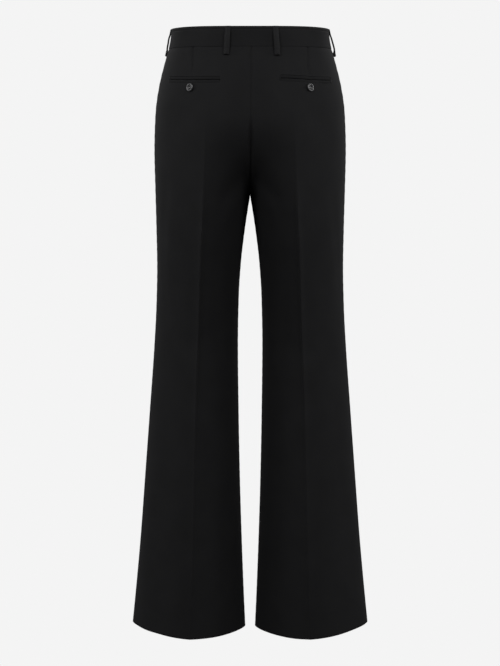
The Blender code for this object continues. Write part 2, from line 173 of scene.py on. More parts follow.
@dataclass
class TrouserForm:
    """The outside of the trousers as a surface, from the sizes of the solids."""

    outline: Table = Table(
        ("height", "side", "crease"),
        (
            (22, 137.6, 66.0), (0, 138.9, 66.5), (-14, 142.4, 67.5), (-42, 150.4, 70.0),
            (-84, 160.8, 73.0), (-127, 166.9, 75.5), (-197, 169.4, 78.0), (-272, 168.0, 81.0),
            (-340, 166.7, 85.0), (-397, 166.0, 87.5), (-470, 167.9, 90.0), (-543, 172.1, 92.5),
            (-660, 181.1, 96.5), (-778, 190.4, 99.5), (-898, 200.0, 102.5), (-1000, 209.8, 106.0),
            (-1070, 217.1, 108.7),
        ),
    )
    depths: Table = Table(
        ("height", "back", "front"),
        (
            (22, 83.0, 76.5), (-14, 86.7, 79.7), (-42, 94.7, 84.2), (-84, 105.0, 89.5),
            (-127, 111.3, 92.6), (-170, 113.4, 93.6), (-215, 112.0, 93.6), (-272, 107.5, 92.6),
            (-340, 99.0, 89.5), (-397, 90.5, 85.0), (-455, 83.0, 79.5), (-543, 75.5, 73.5),
            (-660, 74.0, 71.0), (-778, 75.0, 71.5), (-898, 77.0, 73.0), (-1000, 79.0, 75.5),
            (-1070, 80.1, 76.6),
        ),
    )
    leg: Table = Table(
        ("height", "inseam", "inseam_y", "straight", "rounder", "ridge"),
        (
            (-272, 0.15, -15.0, 0.50, 0.07, 0.04), (-300, 4.8, -12.0, 0.51, 0.05, 0.05),
            (-340, 10.7, -9.0, 0.53, 0.03, 0.07), (-397, 17.2, -6.0, 0.55, 0.02, 0.09),
            (-455, 20.8, -4.0, 0.58, 0.03, 0.12), (-543, 22.4, -2.0, 0.60, 0.04, 0.14),
            (-660, 21.3, 0.0, 0.62, 0.05, 0.15), (-778, 19.2, 0.0, 0.64, 0.06, 0.15),
            (-898, 15.8, 0.0, 0.66, 0.06, 0.15), (-1000, 12.1, 0.0, 0.66, 0.06, 0.15),
            (-1070, 9.1, 0.0, 0.66, 0.06, 0.15),
        ),
    )
    soften: float = 9 * MM
    seam_gap: float = 0.06 * MM
    crotch: float = -272 * MM
    forks: dict[Face, float] = field(default_factory=lambda: {Face.BACK: -130 * MM, Face.FRONT: -170 * MM})
    fork_bend: float = 1.8
    fork_end_seam: float = 0.55
    fork_end_crease: float = 1.7
    outer_turns_oval: float = -100 * MM
    outer_turns_leg: float = -420 * MM
    top_side: float = 18.5 * MM
    top_back: float = 21.5 * MM
    top_front: float = 14.0 * MM
    top_swell: float = 0.8 * MM
    waistband: float = 34.9 * MM
    hem_side: float = -1058.5 * MM
    hem_inseam: float = -1065.5 * MM
    hem_lift: dict[Face, float] = field(default_factory=lambda: {Face.BACK: -6 * MM, Face.FRONT: 3 * MM})

    def __post_init__(self) -> None:
        """Reads the tables as curves."""
        self.side = self.outline.profile("side", soften=self.soften)
        self.crease = self.outline.profile("crease", soften=self.soften)
        self.depth = {
            Face.BACK: self.depths.profile("back", soften=self.soften),
            Face.FRONT: self.depths.profile("front", soften=self.soften),
        }
        self.inseam = self.leg.profile("inseam")
        self.inseam_y = self.leg.profile("inseam_y", soften=self.soften)
        self.straight = self.leg.profile("straight", 1, self.soften)
        self.rounder = self.leg.profile("rounder", 1, self.soften)
        self.ridge = self.leg.profile("ridge", 1, self.soften)

    def crease_angle(self, height: Numbers) -> Array:
        """Angle of the crease on the hips' oval."""
        return np.arccos(self.crease(height) / self.side(height))

    def hip(self, angle: Numbers, height: Numbers) -> Array:
        """Points of the hips' oval.

        Args:
            angle: Radians from the left side seam, positive towards the back.
            height: Heights, which broadcast with the angles.

        Returns:
            Points in the last axis.
        """
        angle, height = np.broadcast_arrays(np.asarray(angle, float), np.asarray(height, float))
        reach = np.where(np.sin(angle) > 0, self.depth[Face.BACK](height), self.depth[Face.FRONT](height))
        depth = reach / np.sin(self.crease_angle(height))
        return np.stack([self.side(height) * np.cos(angle), depth * np.sin(angle), height], -1)

    def hip_normal(self, angle: Numbers, height: Numbers) -> Array:
        """The outward directions there.

        Args:
            angle: Radians, as for hip.
            height: Heights.

        Returns:
            A unit vector for each.
        """
        step = 1e-3
        along = self.hip(np.add(angle, step), height) - self.hip(np.subtract(angle, step), height)
        up = self.hip(angle, np.add(height, step)) - self.hip(angle, np.subtract(height, step))
        return unit(np.cross(along, up))

    def hip_angle(self, x: Numbers, height: Numbers, face: Face) -> Array:
        """The angle at which the oval is at a distance x from the centre line, on that face."""
        return face.value * np.arccos(np.clip(x / self.side(height), -1, 1))

    def outside(self, x: Numbers, height: Numbers, face: Face) -> tuple[Array, Array]:
        """The oval's point at a distance x from the centre line, on that face, and the way out there."""
        angle = self.hip_angle(x, height, face)
        return self.hip(angle, height), self.hip_normal(angle, height)

    def waist_top(self, angle: Numbers) -> Array:
        """Height of the waistband's top edge."""
        end = np.where(np.sin(angle) > 0, self.top_back, self.top_front)
        swell = self.top_swell * np.sin(2 * np.asarray(angle)) ** 2 * (np.sin(angle) > 0)
        return self.top_side + (end - self.top_side) * np.abs(np.sin(angle)) + swell

    def hem(self, across: float, face: Face) -> float:
        """Height of the hem's edge in a column of a panel, from 0 at the side seam to 1 at the inseam."""
        swing = math.sin(math.pi * across) ** 3
        drop = (self.hem_inseam - self.hem_side) * (1 - math.cos(math.pi * across)) / 2
        return self.hem_side + drop + self.hem_lift[face] * swing

    def panel_column(
        self, across: float, heights: Array, face: Face, edge: Callable[[Array], Array]
    ) -> Array:
        """One column of the left panel on a face.

        Args:
            across: 0 at the side seam, 0.5 at the crease and 1 at the centre edge or inseam.
            heights: The heights of its rows.
            face: Back or front.
            edge: Gives the centre edge's distance from the centre line at each height.

        Returns:
            A point for each height.
        """
        side, crease, reach = self.side(heights), self.crease(heights), self.depth[face](heights)
        crease_angle = self.crease_angle(heights)
        if across <= 0.5:
            angle = crease_angle * across * 2
            share = ease(heights, self.outer_turns_oval, self.outer_turns_leg)
            turn, seam, straight = math.pi * across, side, self.straight(heights)
            seam_depth = np.zeros_like(heights)
        else:
            inward = across * 2 - 1
            angle = crease_angle + (np.arccos(edge(heights) / side) - crease_angle) * inward
            fork = self.forks[face]
            sunk = np.clip((heights - fork) / (self.crotch - fork), 0, 1)
            end = self.fork_end_crease + (self.fork_end_seam - self.fork_end_crease) * inward
            share = 1 - (1 - sunk**self.fork_bend) ** end
            turn, seam = math.pi * (1 - across), self.inseam(heights)
            straight = self.straight(heights) - self.rounder(heights)
            seam_depth = self.inseam_y(heights) * math.cos(turn) * face.value
        ridge = self.ridge(heights)
        rise = (1 - ridge) * max(math.sin(turn), 0) ** (2 * straight) + ridge * (1 - math.cos(turn))
        leg_x = crease + (seam - crease) * math.cos(turn)
        leg_depth = reach * rise + seam_depth
        hip_x = side * np.cos(angle)
        hip_depth = reach / np.sin(crease_angle) * np.sin(angle)
        x = (1 - share) * hip_x + share * leg_x
        depth = (1 - share) * hip_depth + share * leg_depth
        return np.stack([x, face.value * (depth + self.seam_gap / 2), heights], -1)


FORM = TrouserForm()


# --- meshes ---


def grid_faces(rows: int, columns: int, first: int = 0, flip: bool = False) -> Array:
    """The quads of a grid of points.

    Args:
        rows: Number of rows.
        columns: Number of columns.
        first: Index of its first point.
        flip: Turn the faces over.

    Returns:
        Four indices for each quad.
    """
    at = np.arange(rows * columns).reshape(rows, columns) + first
    quads = np.stack([at[:-1, :-1], at[1:, :-1], at[1:, 1:], at[:-1, 1:]], -1).reshape(-1, 4)
    return quads[:, ::-1] if flip else quads


def make_object(name: str, points: Array, faces: Sequence, uv: Array | None = None) -> Piece:
    """A smooth-shaded mesh object at the origin.

    Args:
        name: Its name.
        points: Its points.
        faces: Indices of each face's points.
        uv: A place on the cloth, in metres, for each point.

    Returns:
        The object.
    """
    mesh = bpy.data.meshes.new(name)
    mesh.from_pydata(np.asarray(points).reshape(-1, 3).tolist(), [], [list(map(int, f)) for f in faces])
    if uv is not None:
        layer = mesh.uv_layers.new(name="cloth")
        corners = np.empty(len(mesh.loops), np.int32)
        mesh.loops.foreach_get("vertex_index", corners)
        layer.data.foreach_set("uv", np.asarray(uv, np.float32)[corners].ravel())
    mesh.shade_smooth()
    mesh.validate()
    made = bpy.data.objects.new(name, mesh)
    bpy.context.scene.collection.objects.link(made)
    return made


def shell(
    name: str, outside: Array, inside: Array, uv: Array, flip: bool, sharp: float = 60.0
) -> Piece:
    """A closed wall of cloth between two grids of points.

    Args:
        name: Name of the object.
        outside: Grid of the outer face.
        inside: Grid of the inner face.
        uv: Grid of places on the cloth, in metres.
        flip: Turn the faces over, for a grid that runs the other way.
        sharp: Degrees between faces, from which their edge is shaded sharp.

    Returns:
        The object.
    """
    rows, columns = outside.shape[:2]
    half = rows * columns
    at = np.arange(half).reshape(rows, columns)
    border = np.concatenate([at[0, :], at[1:, -1], at[-1, -2::-1], at[-2:0:-1, 0]])
    after = np.roll(border, -1)
    rim = np.stack([border, after, after + half, border + half], -1)
    faces = np.concatenate(
        [
            grid_faces(rows, columns, flip=flip),
            grid_faces(rows, columns, half, not flip),
            rim[:, ::-1] if flip else rim,
        ]
    )
    points = np.concatenate([outside.reshape(-1, 3), inside.reshape(-1, 3)])
    places = np.concatenate([uv.reshape(-1, 2), uv.reshape(-1, 2)])
    made = make_object(name, points, faces, places)
    made.data.set_sharp_from_angle(angle=math.radians(sharp))
    return made


def swept(name: str, sections: Array, uv: Array, flip: bool = False) -> Piece:
    """A closed solid through a row of closed sections, capped at both ends.

    Args:
        name: Name of the object.
        sections: The points of each section, going once round.
        uv: A place on the cloth for each of them, in metres.
        flip: Turn the faces over.

    Returns:
        The object.
    """
    count, round_count = sections.shape[:2]
    closed = np.concatenate([sections, sections[:, :1]], 1)
    places = np.concatenate([uv, uv[:, :1]], 1)
    faces = grid_faces(count, round_count + 1, flip=flip)
    last = (round_count + 1) * (count - 1)
    start_cap = list(range(round_count))
    end_cap = [last + i for i in range(round_count)]
    caps = [start_cap if flip else start_cap[::-1], end_cap[::-1] if flip else end_cap]
    made = make_object(name, closed, [*faces.tolist(), *caps], places.reshape(-1, 2))
    weld = made.modifiers.new("Weld", "WELD")
    weld.merge_threshold = 1e-6
    apply_modifiers(made)
    made.data.set_sharp_from_angle(angle=math.radians(60))
    return made


def apply_modifiers(made: Piece) -> None:
    """Bakes an object's modifiers into its mesh.

    Args:
        made: The object.
    """
    graph = bpy.context.evaluated_depsgraph_get()
    mesh = bpy.data.meshes.new_from_object(made.evaluated_get(graph))
    mesh.name = made.name
    made.modifiers.clear()
    made.data = mesh


def mirrored(points: Array, side: Side) -> Array:
    """The points of the left side, on that side."""
    return points * (side.value, 1, 1)


class ClothSurface:
    """The outside of a finished piece of cloth, on which stitches and trims are placed."""

    def __init__(self, cloth: Piece) -> None:
        """Reads the piece's mesh once."""
        mesh = cloth.data
        vertices = [v.co.copy() for v in mesh.vertices]
        self.tree = BVHTree.FromPolygons(vertices, [tuple(p.vertices) for p in mesh.polygons])

    def on(self, point: Array, outward: Array, reach: float = 12 * MM) -> Array:
        """The place on the cloth straight in from a point.

        Args:
            point: A point near the cloth.
            outward: The rough outward direction.
            reach: How far the cloth may be.

        Returns:
            The place.
        """
        direction = Vector(outward).normalized()
        hit = self.tree.ray_cast(Vector(point) + direction * reach, -direction, 3 * reach)[0]
        if hit is None:
            hit = self.tree.find_nearest(Vector(point))[0]
        return np.array(hit)


# --- the leg panels ---


@dataclass(frozen=True)
class PocketCut:
    """Where the back pockets are cut: a shallow bed in the panel, in which two lips lie level."""

    inner: float = 52.0 * MM
    outer: float = 138.5 * MM
    lip: float = 5.2 * MM
    depth: float = 1.4 * MM
    slit: float = 1.3 * MM
    slit_width: float = 1.1 * MM
    end: float = 0.8 * MM
    left: Pair = (-69.5 * MM, -69.9 * MM)
    right: Pair = (-67.0 * MM, -70.9 * MM)

    def mouth(self, side: Side, x: Numbers) -> Array:
        """Height of a pocket's mouth at a distance from the centre line."""
        inner, outer = self.left if side is Side.LEFT else self.right
        return inner + (outer - inner) * ease(x, self.inner, self.outer)

    def bed(self, side: Side, x: Array, height: Array) -> Array:
        """How far the panel is set back there.

        Args:
            side: The wearer's left or right.
            x: Distance from the centre line.
            height: Height.

        Returns:
            Metres inwards at each place.
        """
        away = np.abs(height - self.mouth(side, x))
        inside = 1 - ease(away, self.lip - 0.1 * MM, self.lip + 0.5 * MM)
        reach = ease(x, self.inner - self.end, self.inner) * (1 - ease(x, self.outer, self.outer + self.end))
        return (self.depth * inside + self.slit * bell(away, self.slit_width)) * reach


POCKET = PocketCut()


@dataclass(frozen=True)
class Fold:
    """A soft ridge, or a trough where its height is negative, along a line on a panel.

    The line runs between two places, each a distance from the pressed crease, positive towards the side
    seam, and a height. All are in millimetres.
    """

    start_across: float
    start_height: float
    end_across: float
    end_height: float
    width: float
    rise: float
    bow: float = 0.06
    taper: float = 0.8

    def relief(self, across: Array, height: Array) -> Array:
        """How far the fold moves the cloth outwards at each place, all in metres.

        Args:
            across: Distance from the crease.
            height: Height.

        Returns:
            Metres outwards.
        """
        start = np.array([self.start_across, self.start_height]) * MM
        run = np.array([self.end_across, self.end_height]) * MM - start
        length = np.linalg.norm(run)
        dx, dz = across - start[0], height - start[1]
        along = (dx * run[0] + dz * run[1]) / length
        aside = (dz * run[0] - dx * run[1]) / length
        swell = np.sin(math.pi * np.clip(along / length, 0, 1))
        bowed = bell(aside - self.bow * length * swell, self.width * MM)
        return self.rise * MM * swell**self.taper * bowed


PANEL_FOLDS: dict[PanelKey, tuple[Fold, ...]] = {
    (Face.BACK, Side.LEFT): (
        Fold(-104, -222, -22, -300, 13, -1.1), Fold(-92, -262, -30, -345, 12, 0.8),
        Fold(42, -190, 50, -430, 15, 0.9), Fold(72, -215, 64, -500, 13, -0.9),
        Fold(-46, -330, -40, -560, 15, -0.8), Fold(-58, -505, 34, -545, 14, -0.7),
        Fold(28, -575, 38, -905, 19, -0.9), Fold(62, -690, 74, -1180, 20, 1.2),
        Fold(-42, -640, -50, -1210, 18, -1.1), Fold(34, -860, 40, -1230, 17, -1.2),
    ),
    (Face.BACK, Side.RIGHT): (
        Fold(32, -52, 33, -88, 7, -1.3), Fold(-108, -232, -28, -285, 12, -1.0),
        Fold(-86, -250, -26, -362, 14, 0.7), Fold(48, -205, 44, -400, 13, 0.8),
        Fold(66, -240, 72, -540, 15, -1.0), Fold(-38, -345, -48, -590, 14, -0.9),
        Fold(-50, -530, 40, -560, 13, -0.6), Fold(36, -600, 30, -880, 18, 0.8),
        Fold(58, -720, 66, -1200, 19, -1.2), Fold(-50, -610, -44, -1190, 19, 1.0),
        Fold(-28, -880, -32, -1230, 16, -1.0),
    ),
    (Face.FRONT, Side.LEFT): (
        Fold(-74, -205, 38, -178, 9, -0.9), Fold(-78, -236, 26, -232, 10, -1.1),
        Fold(-70, -258, 10, -300, 11, 0.8), Fold(44, -210, 50, -470, 15, 0.9),
        Fold(-44, -330, -38, -600, 15, -0.8), Fold(-52, -560, 42, -590, 14, -0.8),
        Fold(-40, -600, 36, -625, 13, 0.6), Fold(56, -700, 66, -1190, 19, 1.1),
        Fold(-40, -680, -48, -1200, 18, -1.1),
    ),
    (Face.FRONT, Side.RIGHT): (
        Fold(-80, -210, 30, -190, 10, -1.0), Fold(-74, -246, 34, -250, 9, -0.9),
        Fold(-66, -268, 6, -322, 12, 0.9), Fold(50, -230, 42, -440, 14, 0.8),
        Fold(-40, -350, -46, -570, 14, -0.9), Fold(-56, -575, 36, -600, 14, -0.7),
        Fold(30, -640, 38, -930, 18, -0.9), Fold(60, -740, 70, -1200, 20, -1.1),
        Fold(-46, -650, -40, -1210, 19, 1.0),
    ),
}


CREASE_RISE = Table(
    ("height", "back", "front"),
    (
        (22, 0.0, 0.0), (-50, 0.0, 0.1), (-120, 0.0, 1.5), (-190, 0.4, 2.5), (-233, 1.8, 3.0),
        (-286, 5.5, 3.6), (-340, 7.0, 3.8), (-450, 6.6, 3.8), (-520, 6.0, 3.8), (-585, 4.6, 3.5),
        (-660, 4.4, 3.2), (-743, 2.8, 2.6), (-830, 2.8, 2.4), (-940, 1.8, 2.0), (-1070, 1.0, 1.4),
    ),
)


@dataclass(frozen=True)
class Unevenness:
    """The slight swell of a soft cloth, a sum of waves that go every way."""

    waves: int = 26
    shortest: float = 24 * MM
    longest: float = 95 * MM
    rise: float = 0.16 * MM
    upright: float = 0.6

    def relief(self, across: Array, height: Array, seed: int) -> Array:
        """How far it moves the cloth outwards at each place.

        Args:
            across: Distance from the crease.
            height: Height.
            seed: Picks the waves.

        Returns:
            Metres outwards.
        """
        random = np.random.default_rng(seed)
        total = np.zeros_like(across)
        for _ in range(self.waves):
            length = random.uniform(self.shortest, self.longest)
            heading, phase = random.uniform(0, math.pi), random.uniform(0, 2 * math.pi)
            along = across * math.cos(heading) + height * math.sin(heading) * self.upright
            total += np.sin(2 * math.pi * along / length + phase) * length / self.longest
        return total * self.rise / math.sqrt(self.waves / 4)


@dataclass
class PanelCloth:
    """One leg panel, from the waist seam to the hem and up again inside it.

    Args:
        face: Back or front.
        side: The wearer's left or right.
        edge: The centre edge's distance from the centre line at each height.
        set_back: How far a point of the panel is set back under the fly's lap.
    """

    face: Face
    side: Side
    edge: Callable[[Array], Array]
    set_back: Callable[[Array], Array] | None = None

    cloth: float = 0.8 * MM
    plain_columns: int = 52
    dart_columns: int = 78
    grading: float = 1.3
    outer_grading: float = 0.8
    hip_bands: tuple[tuple[float, int], ...] = ((-60 * MM, 10), (-79 * MM, 38), (-130 * MM, 20))
    fork_rows: int = 70
    leg_rows: int = 160
    hem_turned: float = 38 * MM
    hem_gap: float = 0.2 * MM
    hem_bend_rows: int = 6

    crease_width: float = 4.8 * MM
    crease_body: float = 18.0 * MM
    body_share: float = 0.35
    fullness: float = 0.6 * MM
    seam_sink: float = 0.95 * MM
    side_sink: float = 0.1 * MM
    inseam_sink: float = 0.3 * MM
    centre_seam_sink: float = 1.2 * MM
    # The fork's hollow: how far below the waist it deepens and eases, and where at the crotch it ends.
    fork_sink: float = 3.8 * MM
    fork_deepens: Pair = (125 * MM, 175 * MM)
    fork_eases: Pair = (190 * MM, 215 * MM)
    fork_eased: float = 0.3
    fork_widens: float = 1.1
    fork_ends: Pair = (-12 * MM, 10 * MM)
    fly_sewn: Pair = (-150 * MM, -162 * MM)
    seam_width: float = 1.7 * MM
    waist_seam_width: float = 1.4
    pucker_rise: float = 0.16 * MM
    pucker_pitch: float = 17 * MM
    pucker_drift: float = 31 * MM
    pucker_from_seam: float = 5 * MM
    pucker_reach: float = 4 * MM
    seam_calm: float = 14 * MM
    pocket_calm: float = 0.85
    pocket_calm_height: float = -76 * MM
    pocket_calm_reach: float = 26 * MM
    dart_x: float = 99 * MM
    dart_end: float = -60 * MM
    dart_sink: float = 2.2 * MM
    dart_width: float = 1.8 * MM
    dart_runs_out: Pair = (-2 * MM, 12 * MM)

    def crease_rise(self, height: Array) -> Array:
        """How far the pressed crease stands up, sharpest below the seat and softer towards the hem."""
        return CREASE_RISE.profile(self.face.name.lower(), soften=12 * MM)(height)

    def waist_sink(self, x: Array) -> Array:
        """How deep the waist seam lies, deepest beside the left back loop.

        Args:
            x: Distance from the centre line.

        Returns:
            Metres inwards.
        """
        if self.face is Face.FRONT:
            return np.full_like(x, self.seam_sink)
        beside_loop = bell(x - 64 * MM, 22 * MM) if self.side is Side.LEFT else 0.0
        return self.seam_sink * (0.2 + 1.1 * beside_loop + 0.6 * ease(x, 70 * MM, 110 * MM))

    def across_values(self) -> Array:
        """The columns' places, closer together at the seams and the crease.

        Returns:
            Rising from 0 at the side seam to 1 at the centre edge.
        """
        halves = []
        outer = self.outer_columns, self.outer_grading * self.grading
        for columns, grading in (outer, (self.plain_columns, self.grading)):
            even = np.linspace(-1, 1, columns + 1)
            halves.append(0.25 + 0.25 * np.tanh(grading * even) / math.tanh(grading))
        return np.concatenate([halves[0], 0.5 + halves[1][1:]])

    @property
    def outer_columns(self) -> int:
        """The number of columns between side seam and crease, more of them where a dart is sewn."""
        return self.dart_columns if self.face is Face.BACK else self.plain_columns

    def row_heights(self, across: float) -> Array:
        """The height of each row in that column, down to the hem's bend.

        Args:
            across: The column's place.

        Returns:
            Falling heights.
        """
        seam_height = -FORM.waistband
        crease = float(FORM.crease_angle(seam_height))
        centre = math.acos(float(self.edge(np.array([seam_height]))[0] / FORM.side(seam_height)))
        angle = crease * across * 2 if across <= 0.5 else crease + (centre - crease) * (across * 2 - 1)
        top = float(FORM.waist_top(angle * self.face.value)) - FORM.waistband - FORM.seam_gap / 2
        hips = [np.array([top])]
        for stop, rows in self.hip_bands:
            hips.append(np.linspace(hips[-1][-1], stop, rows + 1)[1:])
        fork_top = hips[-1][-1]
        even = np.linspace(0, 1, self.fork_rows + 1)[1:]
        late = float(ease(across, 0.5, 1.0))
        fork = fork_top + (FORM.crotch - fork_top) * ((1 - late) * even + late * np.sin(math.pi / 2 * even))
        end = FORM.hem(across, self.face) + self.hem_radius
        return np.concatenate([*hips, fork, np.linspace(FORM.crotch, end, self.leg_rows + 1)[1:]])

    @property
    def hip_rows(self) -> int:
        """The number of rows above the fork, closer together over the back pockets."""
        return sum(rows for _, rows in self.hip_bands)

    @property
    def first_leg_row(self) -> int:
        """The first row below the fork."""
        return self.hip_rows + self.fork_rows

    @property
    def hem_radius(self) -> float:
        """Outer radius of the hem's bend."""
        return self.cloth + self.hem_gap / 2

    @property
    def name(self) -> str:
        """The name that the panel shares with its node, but for the order of its words."""
        return f"{self.side.name.lower()}_{self.face.name.lower()}_panel"

    @property
    def node(self) -> str:
        """The node that it stands for."""
        return f"{self.face.name.lower()}_panel_{self.side.name.lower()}"

    def normals(self, points: Array) -> Array:
        """Outward directions of the left-hand grid. Along a seam they lie in the seam's own plane.

        Args:
            points: The grid.

        Returns:
            A unit vector for each point.
        """
        out = np.cross(np.gradient(points, axis=0), np.gradient(points, axis=1)) * self.face.value
        leg = self.first_leg_row
        out[:, 0, 1] = 0
        out[leg:, -1, 1] = 0
        out[:leg, -1, 0] = np.minimum(out[:leg, -1, 0], 0)
        return unit(out)

    def centre_way(self, normals: Array) -> Array:
        """The way out along the centre line or the inseam, which leaves no gap between a seam's two sides."""
        way = normals.copy()
        way[: self.first_leg_row] = (0.0, self.face.value, 0.0)
        return way

    def crease_ridge(self) -> Array:
        """The pressed crease's profile at each point, with a softer body towards the side seam.

        Returns:
            1 on the crease, falling to 0 beside it.
        """
        away = np.abs(self.across)
        body = np.where(self.across > 0, self.crease_body, self.crease_width)
        edge = (1 - self.body_share) * np.exp(-away / self.crease_width)
        return edge + self.body_share * np.exp(-away / body)

    def centre_seam(self, height: Array, from_centre: Array, sewn: Numbers) -> Array:
        """How deep the centre seam, the fork and the inseam draw the cloth in.

        Args:
            height: Height of each point.
            from_centre: Its distance from the seam.
            sewn: 1 where the seam is closed, 0 along the fly's opening.

        Returns:
            Metres at each point.
        """
        crotch = -FORM.crotch
        on_leg = ease(-height, crotch + self.fork_ends[0], crotch + self.fork_ends[1])
        eased = 1 - self.fork_eased * ease(-height, *self.fork_eases)
        in_fork = ease(-height, *self.fork_deepens) * (1 - on_leg) * eased
        sink = self.centre_seam_sink + self.fork_sink * in_fork
        sink = sink + (self.inseam_sink - self.centre_seam_sink) * on_leg
        return sink * bell(from_centre, self.seam_width * (1 + self.fork_widens * in_fork)) * sewn

    def puckers(self, height: Array, from_side: Array, from_centre: Array, sewn: Numbers) -> Array:
        """The small waves that sewing leaves beside a seam, as metres outwards.

        Args:
            height: Height of each point.
            from_side: Its distance from the side seam.
            from_centre: Its distance from the centre seam.
            sewn: 1 where that seam is closed.

        Returns:
            Metres outwards.
        """
        drift = 1.3 * np.sin(height / self.pucker_drift)
        wave = np.sin(2 * math.pi * height / self.pucker_pitch + drift)
        beside_side = bell(from_side - self.pucker_from_seam, self.pucker_reach)
        beside_centre = bell(from_centre - self.pucker_from_seam, self.pucker_reach)
        return self.pucker_rise * wave * (beside_side + beside_centre * sewn)

    def softness(self, height: Array) -> Array:
        """Folds and unevenness of the hanging cloth, as metres outwards.

        Args:
            height: Height of each point.

        Returns:
            Metres outwards.
        """
        soft = np.zeros_like(height)
        for fold in PANEL_FOLDS[self.face, self.side]:
            soft += fold.relief(self.across, height)
        seed = SEED + 2 * self.face.value + self.side.value
        swell = Unevenness().relief(self.across, height, seed)
        if self.face is Face.BACK:
            near_pocket = bell(height - self.pocket_calm_height, self.pocket_calm_reach)
            swell = swell * (1 - self.pocket_calm * near_pocket)
        return soft + swell

    def relief(self, points: Array) -> Array:
        """How far creases, seams, darts and folds move each point outwards.

        Args:
            points: The plain grid.

        Returns:
            Metres outwards. The centre seam's own depth is kept apart, in centre_sink.
        """
        run = run_along(points, 1)
        middle = self.outer_columns
        self.across = run[:, middle : middle + 1] - run
        from_side, from_centre = run, run[:, -1:] - run
        x, height = points[..., 0], points[..., 2]
        from_top = height[:1] - height
        sewn = 1.0 if self.face is Face.BACK else ease(height, *self.fly_sewn)
        self.centre_sink = self.centre_seam(height, from_centre, sewn)

        total = self.fullness + self.crease_rise(height) * self.crease_ridge()
        total -= self.side_sink * bell(from_side, self.seam_width)
        total -= self.waist_sink(x) * bell(from_top, self.waist_seam_width * self.seam_width)
        total += self.puckers(height, from_side, from_centre, sewn)
        calm = (1 - bell(from_side, self.seam_calm)) * (1 - bell(from_centre, self.seam_calm))
        total += self.softness(height) * (calm * (1 - bell(from_top, 2 * self.seam_calm)))
        if self.face is Face.BACK:
            low, high = self.dart_runs_out
            dart = self.dart_sink * bell(x - self.dart_x, self.dart_width)
            total -= dart * ease(height, self.dart_end + low, self.dart_end + high)
            total -= POCKET.bed(self.side, x, height)
        return total

    def build(self) -> Piece:
        """Makes the panel.

        Returns:
            The panel's object, a closed wall of cloth.
        """
        heights = [self.row_heights(across) for across in self.across_values()]
        columns = [
            FORM.panel_column(across, column, self.face, self.edge)
            for across, column in zip(self.across_values(), heights)
        ]
        flat = np.stack(columns, 1)
        normals = self.normals(flat)
        if self.set_back is not None:
            flat = flat - normals * self.set_back(flat)[..., None]
        outside = flat + normals * self.relief(flat)[..., None]
        outside -= self.centre_way(normals) * self.centre_sink[..., None]
        out = self.normals(outside)
        inside = outside - out * self.cloth
        self.inner_grid, self.out_grid = mirrored(inside, self.side), mirrored(out, self.side)
        places = np.stack([self.across, outside[..., 2]], -1)

        radius = self.hem_radius
        last, last_out = outside[-1], out[-1]
        down = np.broadcast_to([0.0, 0.0, -1.0], last.shape)
        bend = np.linspace(0, math.pi, self.hem_bend_rows + 1)[1:]
        around = [np.cos(b) * last_out + np.sin(b) * down for b in bend]
        bend_outside = [last - last_out * radius + way * radius for way in around]
        bend_inside = [last - last_out * radius + way * (radius - self.cloth) for way in around]
        turned = int(self.hem_turned / (outside[-2, 0, 2] - outside[-1, 0, 2]))
        rows = range(len(outside) - 2, len(outside) - 2 - turned, -1)
        up_outside = [outside[r] - out[r] * 2 * radius for r in rows]
        up_inside = [outside[r] - out[r] * (2 * radius - self.cloth) for r in rows]
        bend_places = [places[-1] - (0, radius * b) for b in bend]
        up_places = [bend_places[-1] - (0, (outside[r, 0, 2] - outside[-1, 0, 2])) for r in rows]

        all_outside = np.concatenate([outside, bend_outside, up_outside])
        all_inside = np.concatenate([inside, bend_inside, up_inside])
        all_places = np.concatenate([places, bend_places, up_places])
        flip = (self.face is Face.FRONT) != (self.side is Side.RIGHT)
        walls = [mirrored(wall, self.side) for wall in (all_outside, all_inside)]
        return shell(self.name, *walls, all_places, flip)


